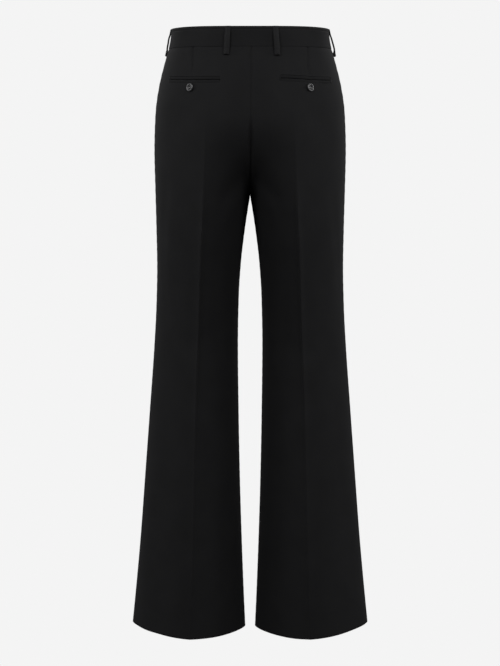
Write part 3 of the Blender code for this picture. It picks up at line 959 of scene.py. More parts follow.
@dataclass
class LegPanels:
    """The four leg panels and the pressed-open allowances of the seams between them."""

    seat_seam_swing: float = 1.2 * MM
    swing_ends: Pair = (215 * MM, 262 * MM)
    fly_bottom: float = -150 * MM
    fly_closes: float = -160 * MM
    lap_edge: float = 8.5 * MM
    under_edge: float = 4.5 * MM
    set_back_depth: float = 1.5 * MM
    set_back_full: float = 10 * MM
    set_back_starts: float = 22 * MM
    cut_width: dict[Face, float] = field(default_factory=lambda: {Face.BACK: 0.325, Face.FRONT: 0.305})
    cut_length: float = 1.16
    cut_share: float = 0.83
    allowance: float = 11 * MM
    allowance_cloth: float = 0.6 * MM
    allowance_lift: float = 0.15 * MM

    def closed(self, height: Array) -> Array:
        """0 along the fly's opening and 1 below it."""
        return ease(height, self.fly_bottom, self.fly_closes)

    def seat_swing(self, height: Array) -> Array:
        """How far the seat's seam runs to the wearer's right of the centre line."""
        return self.seat_seam_swing * (1 - ease(-height, *self.swing_ends))

    def left_seat_edge(self, height: Array) -> Array:
        """Centre edge of the left back, sewn to the right one."""
        return FORM.seam_gap / 2 - self.seat_swing(height)

    def right_seat_edge(self, height: Array) -> Array:
        """Centre edge of the right back."""
        return FORM.seam_gap / 2 + self.seat_swing(height)

    def lapped(self, height: Array) -> Array:
        """Centre edge of the right front, past the centre line down to the fly's end."""
        closed = self.closed(height)
        return -self.lap_edge * (1 - closed) + FORM.seam_gap / 2 * closed

    def under(self, height: Array) -> Array:
        """Centre edge of the left front, short of the centre line beside the zip."""
        closed = self.closed(height)
        return self.under_edge * (1 - closed) + FORM.seam_gap / 2 * closed

    def set_back(self, points: Array) -> Array:
        """How far the left front is set back under the lap."""
        near = 1 - ease(points[..., 0], self.set_back_full, self.set_back_starts)
        above = 1 - ease(points[..., 2], self.fly_closes, FORM.forks[Face.FRONT])
        return self.set_back_depth * near * above

    def build(self, wool: Material) -> dict[PanelKey, Piece]:
        """Makes the panels and their allowances.

        Args:
            wool: The cloth.

        Returns:
            The panels by face and side.
        """
        self.cloths = {
            (Face.BACK, Side.LEFT): PanelCloth(Face.BACK, Side.LEFT, self.left_seat_edge),
            (Face.BACK, Side.RIGHT): PanelCloth(Face.BACK, Side.RIGHT, self.right_seat_edge),
            (Face.FRONT, Side.LEFT): PanelCloth(Face.FRONT, Side.LEFT, self.under, self.set_back),
            (Face.FRONT, Side.RIGHT): PanelCloth(Face.FRONT, Side.RIGHT, self.lapped),
        }
        made = {}
        for key, cloth in self.cloths.items():
            panel = cloth.build()
            dress(panel, wool, "leg panel", cloth.node)
            made[key] = panel
        allowances = self.build_allowances(wool)
        for (face, side), panel in made.items():
            going = [piece for piece, belongs in allowances if belongs == (face, side)]
        return made

    def strip(self, name: str, first: Array, second: Array, outs: Array) -> Piece:
        """A pressed-open allowance over a seam.

        Args:
            name: Its name.
            first: Inner grid of one panel's edge, from 1 allowance away to the seam.
            second: Inner grid of the other's, from the seam to 1 allowance away.
            outs: Outward directions over both.

        Returns:
            The strip.
        """
        points = np.concatenate([first, second], 1) - outs * self.allowance_lift
        under = points - outs * self.allowance_cloth
        places = np.stack([run_along(points, 1), points[..., 2]], -1)
        middle = len(points) // 2
        way = np.cross(points[middle + 1, 0] - points[middle, 0], points[middle, 1] - points[middle, 0])
        return shell(name, points, under, places, flip=float(np.dot(way, outs[middle, 0])) < 0)

    def edge_columns(self, cloth: PanelCloth, at_side: bool, rows: slice) -> tuple[Array, Array]:
        """The inner grid and outward directions of a panel's edge, from the seam inwards.

        Args:
            cloth: The panel.
            at_side: Its side seam, or else its centre edge.
            rows: Which rows.

        Returns:
            The grid and the directions.
        """
        inner, out = cloth.inner_grid, cloth.out_grid
        if not at_side:
            inner, out = inner[:, ::-1], out[:, ::-1]
        steps = np.linalg.norm(np.diff(inner[len(inner) * 3 // 4], axis=0), axis=1)
        count = int(np.searchsorted(np.cumsum(steps), self.allowance)) + 1
        return inner[rows, :count], out[rows, :count]

    def build_allowances(self, wool: Material) -> list[tuple[Piece, PanelKey]]:
        """Makes the allowances of the side seams, inseams and centre back seam.

        Args:
            wool: The cloth.

        Returns:
            Each strip with the panel that it goes with.
        """
        some = self.cloths[Face.BACK, Side.LEFT]
        leg = some.first_leg_row
        pairs = []
        for kind, at_side, rows in (
            ("side_seam", True, slice(2, -10, 2)),
            ("inseam", False, slice(leg + 3, -10, 2)),
        ):
            for side in Side:
                name = f"{kind}_{side.name.lower()}"
                pairs.append((name, (Face.BACK, side), (Face.FRONT, side), at_side, rows))
        below_fly = some.hip_rows + some.fork_rows // 4
        for name, face, first_row in (("seat_seam", Face.BACK, 2), ("front_seam", Face.FRONT, below_fly)):
            rows = slice(first_row, leg - 8, 2)
            pairs.append((name, (face, Side.LEFT), (face, Side.RIGHT), False, rows))
        made = []
        for name, one, other, at_side, rows in pairs:
            first, first_out = self.edge_columns(self.cloths[one], at_side, rows)
            second, second_out = self.edge_columns(self.cloths[other], at_side, rows)
            outs = np.concatenate([first_out[:, ::-1], second_out], 1)
            strip = self.strip(name, first[:, ::-1], second, outs)
            dress(strip, wool, "seam allowance")
            made.append((strip, one))
        return made


# --- the waistband and what hangs on it ---


@dataclass
class Waistband:
    """The waistband's two halves, sewn at the centre back and lapped at the front."""

    cloth: float = 2.4 * MM
    proud: float = 0.5 * MM
    steps: int = 132
    underlap: float = 30 * MM
    lap_edge: float = 8.5 * MM
    set_back: float = 2.7 * MM
    set_back_full: float = 18 * MM
    set_back_starts: float = 34 * MM
    crown: float = 0.35 * MM
    groove_drop: float = 5.4 * MM
    groove_sink: float = 0.55 * MM
    groove_width: float = 1.1 * MM
    edge_radius: float = 1.0 * MM
    foot_radius: float = 0.6 * MM
    seam_sink: float = 0.12 * MM
    seam_width: float = 1.6 * MM
    roll: float = 0.2 * MM
    roll_width: float = 1.6 * MM
    head: float = 9 * MM
    ripple: float = 0.12 * MM
    back_dip: float = 0.45 * MM
    back_dip_width: float = 1.8 * MM
    cut_width: float = 0.044
    cut_length: float = 0.405

    def section(self) -> tuple[Array, Array]:
        """The band's cross-section, once round.

        Returns:
            Drop below the top edge, and distance out from the middle of the outer face, of each point.
        """
        length = FORM.waistband - FORM.seam_gap / 2
        radius, foot, thick = self.edge_radius, self.foot_radius, self.cloth
        head, rest = np.linspace(radius, self.head, 20), np.linspace(self.head, length - foot, 14)
        outer_drop = np.concatenate([head, rest[1:]])
        share = (outer_drop - radius) / (length - radius - foot)
        outer_out = self.crown * np.sin(math.pi * share)
        outer_out -= self.groove_sink * bell(outer_drop - self.groove_drop, self.groove_width)
        outer_out -= self.roll * bell(outer_drop - radius, self.roll_width)
        outer_out -= self.seam_sink * bell(outer_drop - length, self.seam_width)
        turn = np.linspace(0, math.pi / 2, 5)[1:-1]
        foot_drop = length - foot + foot * np.sin(turn)
        foot_out = -foot + foot * np.cos(turn) - self.seam_sink
        back_drop = np.linspace(length, radius, 10)
        back_out = np.full(10, -thick)
        head_drop = radius - radius * np.sin(turn)
        head_out = -thick + np.linspace(0.15, 0.85, len(turn)) * (thick - self.roll)
        drop = np.concatenate([outer_drop, foot_drop, back_drop, head_drop])
        out = np.concatenate([outer_out, foot_out, back_out, head_out])
        return drop, out

    def half(self, side: Side) -> Piece:
        """One half of the band, swept round the waist from the centre back.

        Args:
            side: The wearer's left or right.

        Returns:
            The half.
        """
        height = -FORM.waistband / 2
        reach = -self.underlap if side is Side.LEFT else -self.lap_edge
        end = float(FORM.hip_angle(reach, height, Face.FRONT))
        drop, out = self.section()
        way = np.cumsum(np.abs(np.diff(drop, prepend=drop[0])) + 0.2 * MM)
        sections, places = [], []
        for angle in np.linspace(math.pi / 2, end, self.steps):
            top = float(FORM.waist_top(angle))
            base = FORM.hip(angle, top - drop)
            normal = FORM.hip_normal(angle, top - drop)
            lift = self.proud + self.ripple * math.sin(9 * angle) * math.sin(4.3 * angle + 1)
            if side is Side.LEFT and math.sin(angle) < 0:
                past = float(ease(base[0, 0], self.set_back_full, self.set_back_starts))
                lift -= self.set_back * (1 - past)
            lift -= self.back_dip * float(bell(base[0, 0], self.back_dip_width)) * (math.sin(angle) > 0)
            sections.append(base + normal * (out + lift)[:, None])
            places.append(np.stack([np.full(len(drop), angle * float(FORM.side(top)) * 0.8), -way], -1))
        name = f"waistband_{side.name.lower()}_half"
        return swept(name, mirrored(np.array(sections), side), np.array(places), side is Side.LEFT)

    def build(self, wool: Material) -> dict[Side, Piece]:
        """Makes both halves.

        Args:
            wool: The cloth.

        Returns:
            The halves by side.
        """
        made = {}
        for side in Side:
            half = self.half(side)
            dress(half, wool, "waistband half", f"waistband_{side.name.lower()}")
            made[side] = half
        return made


@dataclass(frozen=True)
class Hanging:
    """Where one belt loop hangs, and how its cloth has settled.

    Args:
        node: The node that it stands for.
        degrees: Its place round the waist, from the left side seam towards the back.
        slack: How much further its middle stands off than the others'.
        turned_under: How much its turned-under foot adds to its thickness.
        hangs_lower: How far its foot lies below the others'.
    """

    node: str
    degrees: float
    slack: float = 0.0
    turned_under: float = 0.4
    hangs_lower: float = 0.0


@dataclass
class BeltLoops:
    """Six straps, each caught at the waistband's top edge and tacked below the waist seam."""

    width: float = 10.0 * MM
    cloth: float = 2.0 * MM
    crown: float = 0.8 * MM
    length: float = 48 * MM
    steps: int = 60
    loops: tuple[Hanging, ...] = (
        Hanging("belt_loop_back_left", 74.0, 0.0, 0.5, 3.0 * MM),
        Hanging("belt_loop_back_right", 108.4, 0.0, 0.65, 5.7 * MM),
        Hanging("belt_loop_side_left", 0.0, -0.6 * MM, 0.2),
        Hanging("belt_loop_side_right", 180.0, 1.1 * MM, 0.65, 2.5 * MM),
        Hanging("belt_loop_front_left", -60.0),
        Hanging("belt_loop_front_right", -120.0),
    )
    path: Table = Table(
        ("drop", "stand_off"),
        (
            (0.0, -0.6), (3.0, 0.0), (8.0, 0.7), (11.0, 1.2), (15.5, 2.4), (21.0, 2.9), (30.0, 2.9),
            (34.5, 2.6), (37.5, 1.5), (40.5, 0.6), (48.0, 0.5),
        ),
    )
    # Two sunk stitch rows along each strap, its pinched ends, and how its slack and foot lie by drop.
    stitch_row: float = 0.72
    stitch_sink: float = 0.22
    stitch_width: float = 0.5 * MM
    end_pinch: tuple[float, ...] = (0.5, 0.86)
    longer: float = 0.4
    foot_slides: Pair = (24 * MM, 36 * MM)
    foot_turned: Pair = (35 * MM, 40.5 * MM)
    slack_starts: Pair = (12 * MM, 34 * MM)
    slack_ends: Pair = (36 * MM, 41 * MM)

    def section(self) -> tuple[Array, Array]:
        """Cross-section of a strap: share of the half width and distance out from its back.

        Returns:
            Both, for each point once round.
        """
        turn = np.linspace(-math.pi / 2, math.pi / 2, 7)
        edge = self.cloth / 2 / (self.width / 2)
        right = np.stack([1 - edge + edge * np.cos(turn), 0.5 + 0.5 * np.sin(turn)], -1)
        top_share = np.linspace(1 - edge, -1 + edge, 15)[1:-1]
        from_row = (np.abs(top_share) - self.stitch_row) * self.width / 2
        stitch = self.stitch_sink * bell(from_row, self.stitch_width)
        top = np.stack([top_share, 1 + self.crown / self.cloth * (1 - top_share**2) - stitch], -1)
        left = right[::-1] * (-1, 1)
        base = np.stack([np.linspace(-1 + edge, 1 - edge, 7)[1:-1], np.zeros(5)], -1)
        loop = np.concatenate([right, top, left, base])
        return loop[:, 0], loop[:, 1] * self.cloth

    def strap(self, loop: Hanging) -> Piece:
        """One loop, swept down from the waistband's top edge.

        Args:
            loop: Where and how it hangs.

        Returns:
            The loop.
        """
        middle = math.radians(loop.degrees)
        stand = self.path.profile("stand_off", soften=1.2 * MM)
        drops = np.linspace(0, self.length + self.longer * loop.hangs_lower, self.steps)
        share, out = self.section()
        tangent = unit(FORM.hip(middle + 0.01, 0.0) - FORM.hip(middle - 0.01, 0.0))
        sections, places = [], []
        for i, drop in enumerate(drops):
            end = min(i, self.steps - 1 - i)
            pinch = self.end_pinch[end] if end < len(self.end_pinch) else 1.0
            height = float(FORM.waist_top(middle)) - drop
            centre = FORM.hip(middle, height)
            normal = FORM.hip_normal(middle, height)
            along = drop - loop.hangs_lower * ease(drop, *self.foot_slides)
            folded = 1 + loop.turned_under * float(ease(along, *self.foot_turned))
            thick = (self.cloth / 2 + (out - self.cloth / 2) * pinch) * folded
            hanging = ease(along, *self.slack_starts) * (1 - ease(along, *self.slack_ends))
            lift = float(stand(along)) + loop.slack * hanging + thick
            aside = share * self.width / 2
            sections.append(centre + normal * lift[:, None] + tangent * aside[:, None])
            places.append(np.stack([aside + out, np.full(len(share), height)], -1))
        return swept(loop.node + "_strap", np.array(sections), np.array(places), True)

    def build(self, wool: Material) -> None:
        """Makes the six loops of that cloth."""
        for loop in self.loops:
            dress(self.strap(loop), wool, "belt loop", loop.node)


# --- stitches and other small repeats, by Geometry Nodes ---


class Tree:
    """A node tree that is written node by node."""

    def __init__(self, tree: bpy.types.NodeTree) -> None:
        """Starts from an empty tree."""
        self.tree = tree
        self.tree.nodes.clear()

    def node(self, kind: str, settings: dict | None = None, inputs: dict | None = None) -> bpy.types.Node:
        """Adds one node.

        Args:
            kind: Its type, as Blender names it.
            settings: Properties that are set first.
            inputs: Values or links of its sockets, by name or by number.

        Returns:
            The node.
        """
        made = self.tree.nodes.new(kind)
        for key, value in (settings or {}).items():
            setattr(made, key, value)
        for key, value in (inputs or {}).items():
            socket = made.inputs[key]
            if isinstance(value, Wire):
                value = value.socket
            if isinstance(value, bpy.types.NodeSocket):
                self.tree.links.new(value, socket)
            else:
                socket.default_value = value
        return made

    def wire(
        self, kind: str, output: str | int, settings: dict | None = None, inputs: dict | None = None
    ) -> "Wire":
        """Adds one node and gives one of its outputs."""
        return Wire(self, self.node(kind, settings, inputs).outputs[output])


class Wire:
    """A number that runs between nodes, and takes part in Python's arithmetic."""

    def __init__(self, tree: Tree, socket: bpy.types.NodeSocket) -> None:
        """Wraps an output."""
        self.tree = tree
        self.socket = socket

    def math(self, operation: str, first: "Wire | float", second: "Wire | float") -> "Wire":
        """A Math node on two numbers."""
        return self.tree.wire("ShaderNodeMath", 0, {"operation": operation}, {0: first, 1: second})

    def __add__(self, other: "Wire | float") -> "Wire":
        """Sum."""
        return self.math("ADD", self, other)

    def __radd__(self, other: float) -> "Wire":
        """Sum."""
        return self.math("ADD", other, self)

    def __sub__(self, other: "Wire | float") -> "Wire":
        """Difference."""
        return self.math("SUBTRACT", self, other)

    def __rsub__(self, other: float) -> "Wire":
        """Difference the other way."""
        return self.math("SUBTRACT", other, self)

    def __mul__(self, other: "Wire | float") -> "Wire":
        """Product."""
        return self.math("MULTIPLY", self, other)

    def __rmul__(self, other: float) -> "Wire":
        """Product."""
        return self.math("MULTIPLY", other, self)

def geometry_tree(name: str, inputs: dict[str, float | int | None]) -> bpy.types.NodeTree:
    """A Geometry Nodes tree with its sockets.

    Args:
        name: Its name.
        inputs: Its named inputs besides the geometry, a number's with its value and a material's with None.

    Returns:
        The tree.
    """
    made = bpy.data.node_groups.new(name, "GeometryNodeTree")
    sockets = made.interface
    sockets.new_socket("Geometry", in_out="INPUT", socket_type="NodeSocketGeometry")
    kinds = {float: "NodeSocketFloat", int: "NodeSocketInt"}
    for key, value in inputs.items():
        kind = kinds.get(type(value), "NodeSocketMaterial")
        socket = sockets.new_socket(key, in_out="INPUT", socket_type=kind)
        if value is not None:
            socket.default_value = value
    sockets.new_socket("Geometry", in_out="OUTPUT", socket_type="NodeSocketGeometry")
    return made


def set_inputs(modifier: bpy.types.NodesModifier, values: dict[str, object]) -> None:
    """Sets a Geometry Nodes modifier's inputs, found by name and set by identifier."""
    for item in modifier.node_group.interface.items_tree:
        if item.item_type == "SOCKET" and item.in_out == "INPUT" and item.name in values:
            modifier[item.identifier] = values[item.name]


def grown(name: str, source: Piece, tree: bpy.types.NodeTree, values: dict[str, object]) -> Piece:
    """Runs a Geometry Nodes tree on an object and keeps the result as a plain mesh.

    Args:
        name: Name of the result.
        source: The object with the tree's input, which is removed.
        tree: The tree.
        values: Its inputs, by name.

    Returns:
        A mesh object at the origin.
    """
    modifier = source.modifiers.new("Grow", "NODES")
    modifier.node_group = tree
    set_inputs(modifier, values)
    bpy.context.view_layer.update()
    graph = bpy.context.evaluated_depsgraph_get()
    mesh = bpy.data.meshes.new_from_object(source.evaluated_get(graph))
    mesh.name = name
    bpy.data.objects.remove(source, do_unlink=True)
    made = bpy.data.objects.new(name, mesh)
    bpy.context.scene.collection.objects.link(made)
    return made


class Stitches:
    """Stitches of thread, each a small rounded bar from one place to another."""

    def __init__(self) -> None:
        """Builds the tree once."""
        sizes = {"Thread radius": 0.2 * MM, "Sides": 8, "Rings": 5, "Unevenness": 0.12, "Seed": SEED}
        self.tree = geometry_tree("Stitches", {**sizes, "Thread": None})
        tree = Tree(self.tree)
        given = tree.node("NodeGroupInput").outputs
        named = {"data_type": "FLOAT_VECTOR"}
        run = tree.wire("GeometryNodeInputNamedAttribute", 0, named, {"Name": "run"})
        length = tree.wire("ShaderNodeVectorMath", "Value", {"operation": "LENGTH"}, {0: run})
        turn = tree.wire("FunctionNodeAlignRotationToVector", 0, {"axis": "Z"}, {"Vector": run})
        spread = Wire(tree, given["Unevenness"])
        uneven = tree.node(
            "FunctionNodeRandomValue",
            {"data_type": "FLOAT"},
            {2: 1.0 - spread, 3: 1.0 + spread, "Seed": given["Seed"]},
        )
        thick = Wire(tree, given["Thread radius"]) * Wire(tree, uneven.outputs[1])
        half = length * 0.5 + thick * 0.5
        size = tree.wire("ShaderNodeCombineXYZ", 0, None, {0: thick, 1: thick, 2: half})
        round_bar = {"Segments": given["Sides"], "Rings": given["Rings"], "Radius": 1.0}
        bar = tree.wire("GeometryNodeMeshUVSphere", 0, None, round_bar)
        laying = {"Points": given["Geometry"], "Instance": bar, "Rotation": turn, "Scale": size}
        laid = tree.wire("GeometryNodeInstanceOnPoints", 0, None, laying)
        real = tree.wire("GeometryNodeRealizeInstances", 0, None, {0: laid})
        smooth = tree.wire("GeometryNodeSetShadeSmooth", 0, None, {"Geometry": real})
        dyeing = {"Geometry": smooth, "Material": given["Thread"]}
        tree.node("NodeGroupOutput", None, {0: tree.wire("GeometryNodeSetMaterial", 0, None, dyeing)})

    def sew(
        self,
        name: str,
        starts: Sequence[Array],
        ends: Sequence[Array],
        thread: Material,
        radius: float,
    ) -> None:
        """Makes stitches, all of them as one piece.

        Args:
            name: Name of the piece.
            starts: Where each stitch starts.
            ends: Where it ends.
            thread: Its material.
            radius: Of the thread.
        """
        starts, ends = np.array(starts), np.array(ends)
        mesh = bpy.data.meshes.new(name)
        mesh.from_pydata(((starts + ends) / 2).tolist(), [], [])
        run = mesh.attributes.new("run", "FLOAT_VECTOR", "POINT")
        run.data.foreach_set("vector", (ends - starts).astype(np.float32).ravel())
        source = bpy.data.objects.new(name + "_places", mesh)
        bpy.context.scene.collection.objects.link(source)
        made = grown(name, source, self.tree, {"Thread radius": radius, "Thread": thread})
        dress(made, thread, "stitches")


class ZipTeeth:
    """The two rows of teeth of a closed zip, set along its middle line."""

    def __init__(self) -> None:
        """Builds the tree once."""
        sizes = {
            "Pitch": 1.3 * MM,
            "Tooth width": 3.0 * MM,
            "Tooth height": 0.9 * MM,
            "Depth": 1.2 * MM,
            "Apart": 0.55,
        }
        self.tree = geometry_tree("Zip teeth", {**sizes, "Metal": None})
        tree = Tree(self.tree)
        given = tree.node("NodeGroupInput").outputs
        spacing = {"Curve": given["Geometry"], "Length": given["Pitch"]}
        spaced = tree.wire("GeometryNodeResampleCurve", 0, {"mode": "LENGTH"}, spacing)
        place = Wire(tree, tree.node("GeometryNodeInputIndex").outputs[0])
        odd = tree.wire("ShaderNodeMath", 0, {"operation": "MODULO"}, {0: place, 1: 2.0})
        width = Wire(tree, given["Tooth width"])
        shift = (odd - 0.5) * width * Wire(tree, given["Apart"])
        moved = tree.wire("ShaderNodeCombineXYZ", 0, None, {0: shift})
        points = tree.wire("GeometryNodeSetPosition", 0, None, {"Geometry": spaced, "Offset": moved})
        sides = {0: width, 1: given["Depth"], 2: given["Tooth height"]}
        size = tree.wire("ShaderNodeCombineXYZ", 0, None, sides)
        tooth = tree.wire("GeometryNodeMeshCube", 0, None, {"Size": size})
        laid = tree.wire("GeometryNodeInstanceOnPoints", 0, None, {"Points": points, "Instance": tooth})
        real = tree.wire("GeometryNodeRealizeInstances", 0, None, {0: laid})
        plating = {"Geometry": real, "Material": given["Metal"]}
        tree.node("NodeGroupOutput", None, {0: tree.wire("GeometryNodeSetMaterial", 0, None, plating)})

    def set_along(self, name: str, points: Array, metal: Material) -> Piece:
        """Sets teeth along a line of points.

        Args:
            name: Name of the piece.
            points: The zip's middle line.
            metal: Their material.

        Returns:
            All teeth as one mesh.
        """
        curve = bpy.data.curves.new(name, "CURVE")
        curve.dimensions = "3D"
        spline = curve.splines.new("POLY")
        spline.points.add(len(points) - 1)
        for knot, point in zip(spline.points, points):
            knot.co = (*point, 1.0)
        source = bpy.data.objects.new(name + "_line", curve)
        bpy.context.scene.collection.objects.link(source)
        return grown(name, source, self.tree, {"Metal": metal})


# --- finishes ---


def dress(piece: Piece, material: Material, kind: str, node: str | None = None) -> None:
    """Finishes a piece, lets it ride on the trousers and reports it.

    Args:
        piece: The piece.
        material: Its one material.
        kind: What it is, for the log.
        node: The node that it stands for, if there is one.
    """
    piece.data.materials.clear()
    piece.data.materials.append(material)
    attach(piece, "root")
    if node:
        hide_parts(node)
    LOG.info("%s: %s, %d faces", kind, piece.name, len(piece.data.polygons))


def new_material(name: str) -> tuple[Material, Tree]:
    """An empty node material and the writer of its tree."""
    made = bpy.data.materials.new(name)
    made.use_nodes = True
    return made, Tree(made.node_tree)


def mixed(tree: Tree, factor: Wire, first: Colour | Wire, second: Colour | Wire) -> Wire:
    """A colour between two others."""
    colours = [value if isinstance(value, Wire) else (*value, 1.0) for value in (first, second)]
    mixing = {"data_type": "RGBA", "clamp_factor": True}
    return tree.wire("ShaderNodeMix", 2, mixing, {0: factor, 6: colours[0], 7: colours[1]})


def noise(tree: Tree, at: Wire, size: float, detail: float = 2.0, roughness: float = 0.5) -> Wire:
    """Noise from 0 to 1, with blots of about that size in metres."""
    grain = {"Vector": at, "Scale": 1 / size, "Detail": detail, "Roughness": roughness}
    return tree.wire("ShaderNodeTexNoise", 0, {"noise_dimensions": "3D"}, grain)


def bumped(tree: Tree, height: Wire, depth: float, strength: float) -> Wire:
    """The surface's direction over bumps of that depth in metres."""
    bump = {"Strength": strength, "Distance": depth, "Height": height}
    return tree.wire("ShaderNodeBump", 0, None, bump)


def bands_of(width: float) -> float:
    """The scale at which a wave texture's bands are that wide, in metres."""
    return math.pi / 10 / width


def surface(tree: Tree, sockets: dict[str, Wire | float]) -> None:
    """Ends a material in one Principled shader with those sockets."""
    shader = tree.node("ShaderNodeBsdfPrincipled", None, sockets)
    tree.node("ShaderNodeOutputMaterial", None, {0: shader.outputs[0]})


@dataclass(frozen=True)
class WoolFinish:
    """Fine black wool crepe, matte and slightly heathered."""

    name: str = "black wool crepe"
    deep: Colour = (0.0095, 0.0095, 0.0100)
    pale: Colour = (0.0190, 0.0190, 0.0200)
    fleck: Colour = (0.0300, 0.0300, 0.0310)
    thread: float = 0.42 * MM
    heather: float = 1.5 * MM
    shade: float = 45 * MM
    twill: float = math.radians(27)
    bump: float = 0.07 * MM
    gloss: float = 0.12

    def material(self) -> Material:
        """Builds the material.

        Returns:
            The material.
        """
        made, tree = new_material(self.name)
        at = tree.wire("ShaderNodeUVMap", 0, {"uv_map": "cloth"})
        heather = noise(tree, at, self.heather, 3.0, 0.65)
        shade = noise(tree, at, self.shade, 2.0)
        turned = tree.wire("ShaderNodeMapping", 0, None, {"Vector": at, "Rotation": (0, 0, self.twill)})
        bands = {"Vector": turned, "Scale": bands_of(2 * self.thread), "Distortion": 1.2, "Detail": 1.0}
        wale = tree.wire("ShaderNodeTexWave", "Fac", {"wave_type": "BANDS", "bands_direction": "X"}, bands)
        cells = {"Vector": at, "Scale": 1 / self.thread}
        crepe = tree.wire("ShaderNodeTexVoronoi", "Distance", {"feature": "F1"}, cells)
        weave = wale * 0.35 + (1 - crepe) * 0.65
        tone = mixed(tree, heather * 1.9 - 0.45, self.deep, self.pale)
        lively = mixed(tree, (heather - 0.66) * 6.0, tone, self.fleck)
        shaded = mixed(tree, (shade - 0.5) * 0.9 + 0.2, lively, self.deep)
        cloth = {
            "Base Color": shaded,
            "Roughness": 0.98 - heather * 0.16,
            "Specular IOR Level": self.gloss,
            "Normal": bumped(tree, weave + heather * 0.5, self.bump, 0.75),
        }
        surface(tree, cloth)
        return made


@dataclass(frozen=True)
class PaintedHighlightWoolFinish(WoolFinish):
    """The same cloth in a narrow strip, folded and pressed hard, painted a little paler than the plain wool
    as a painted highlight for the light that the standing straps catch.
    """

    name: str = "pressed black wool"
    # The plain wool's colours raised by about a fifth: painted highlight.
    deep: Colour = (0.0115, 0.0115, 0.0121)
    pale: Colour = (0.0228, 0.0228, 0.0240)
    fleck: Colour = (0.0355, 0.0355, 0.0367)
    gloss: float = 0.16


@dataclass(frozen=True)
class ThreadFinish:
    """Twisted sewing thread."""

    name: str = "black sewing thread"
    deep: Colour = (0.0055, 0.0055, 0.0060)
    pale: Colour = (0.0140, 0.0140, 0.0150)
    twist: float = 0.25 * MM
    bump: float = 0.05 * MM

    def material(self) -> Material:
        """Builds the material.

        Returns:
            The material.
        """
        made, tree = new_material(self.name)
        at = tree.wire("ShaderNodeTexCoord", "Object")
        ply = noise(tree, at, self.twist, 2.0)
        strands = {
            "Base Color": mixed(tree, ply * 1.4 - 0.2, self.deep, self.pale),
            "Roughness": 0.7 - ply * 0.2,
            "Specular IOR Level": 0.2,
            "Normal": bumped(tree, ply, self.bump, 0.6),
        }
        surface(tree, strands)
        return made


@dataclass(frozen=True)
class TapeFinish:
    """Ribbed black zip tape."""

    name: str = "black zip tape"
    deep: Colour = (0.008, 0.008, 0.009)
    pale: Colour = (0.020, 0.020, 0.021)
    rib: float = 0.6 * MM
    speck: float = 0.5 * MM
    bump: float = 0.08 * MM

    def material(self) -> Material:
        """Builds the material.

        Returns:
            The material.
        """
        made, tree = new_material(self.name)
        at = tree.wire("ShaderNodeTexCoord", "Object")
        bands = {"Vector": at, "Scale": bands_of(self.rib), "Distortion": 0.4}
        ribs = tree.wire("ShaderNodeTexWave", "Fac", {"wave_type": "BANDS", "bands_direction": "Z"}, bands)
        speck = noise(tree, at, self.speck)
        woven = {
            "Base Color": mixed(tree, ribs * 0.6 + speck * 0.4, self.deep, self.pale),
            "Roughness": 0.9 - speck * 0.15,
            "Normal": bumped(tree, ribs, self.bump, 0.7),
        }
        surface(tree, woven)
        return made


@dataclass(frozen=True)
class MetalFinish:
    """Dark gunmetal plating, rubbed a little brighter in places."""

    name: str = "dark zip metal"
    deep: Colour = (0.055, 0.055, 0.058)
    pale: Colour = (0.16, 0.16, 0.165)
    rubbed: float = 1.8 * MM
    fine: float = 0.15 * MM
    bump: float = 0.02 * MM

    def material(self) -> Material:
        """Builds the material.

        Returns:
            The material.
        """
        made, tree = new_material(self.name)
        at = tree.wire("ShaderNodeTexCoord", "Object")
        wear = noise(tree, at, self.rubbed, 4.0, 0.6)
        plating = {
            "Base Color": mixed(tree, wear * 2.0 - 0.6, self.deep, self.pale),
            "Metallic": 1.0,
            "Roughness": 0.28 + wear * 0.2,
            "Normal": bumped(tree, noise(tree, at, self.fine), self.bump, 0.3),
        }
        surface(tree, plating)
        return made


@dataclass(frozen=True)
class ButtonFinish:
    """Polished dark grey resin with soft streaks, as in horn."""

    name: str = "dark grey resin"
    deep: Colour = (0.022, 0.022, 0.024)
    pale: Colour = (0.056, 0.056, 0.059)
    streak: float = 3.2 * MM
    drawn_out: Triple = (1.0, 1.0, 0.35)
    turned: Triple = (0.3, 0.2, 0.5)
    fine: float = 0.3 * MM
    bump: float = 0.02 * MM

    def material(self) -> Material:
        """Builds the material.

        Returns:
            The material.
        """
        made, tree = new_material(self.name)
        at = tree.wire("ShaderNodeTexCoord", "Object")
        layers = {"Vector": at, "Scale": self.drawn_out, "Rotation": self.turned}
        streaks = noise(tree, tree.wire("ShaderNodeMapping", 0, None, layers), self.streak, 3.0, 0.55)
        polished = {
            "Base Color": mixed(tree, streaks * 1.8 - 0.4, self.deep, self.pale),
            "Roughness": 0.32 + streaks * 0.12,
            "Coat Roughness": 0.12,
            "Coat Weight": 0.15,
            "Normal": bumped(tree, noise(tree, at, self.fine), self.bump, 0.12),
        }
        surface(tree, polished)
        return made


# --- back pockets ---


@dataclass(frozen=True)
class Gape:
    """A place where a pocket's mouth stands open.

    Args:
        x: Its distance from the centre line.
        reach: How far it reaches to each side.
        open: How far it moves the lower lip away, and the upper one less.
        lift: How far both lips' edges stand up.
    """

    x: float
    reach: float
    open: float
    lift: float


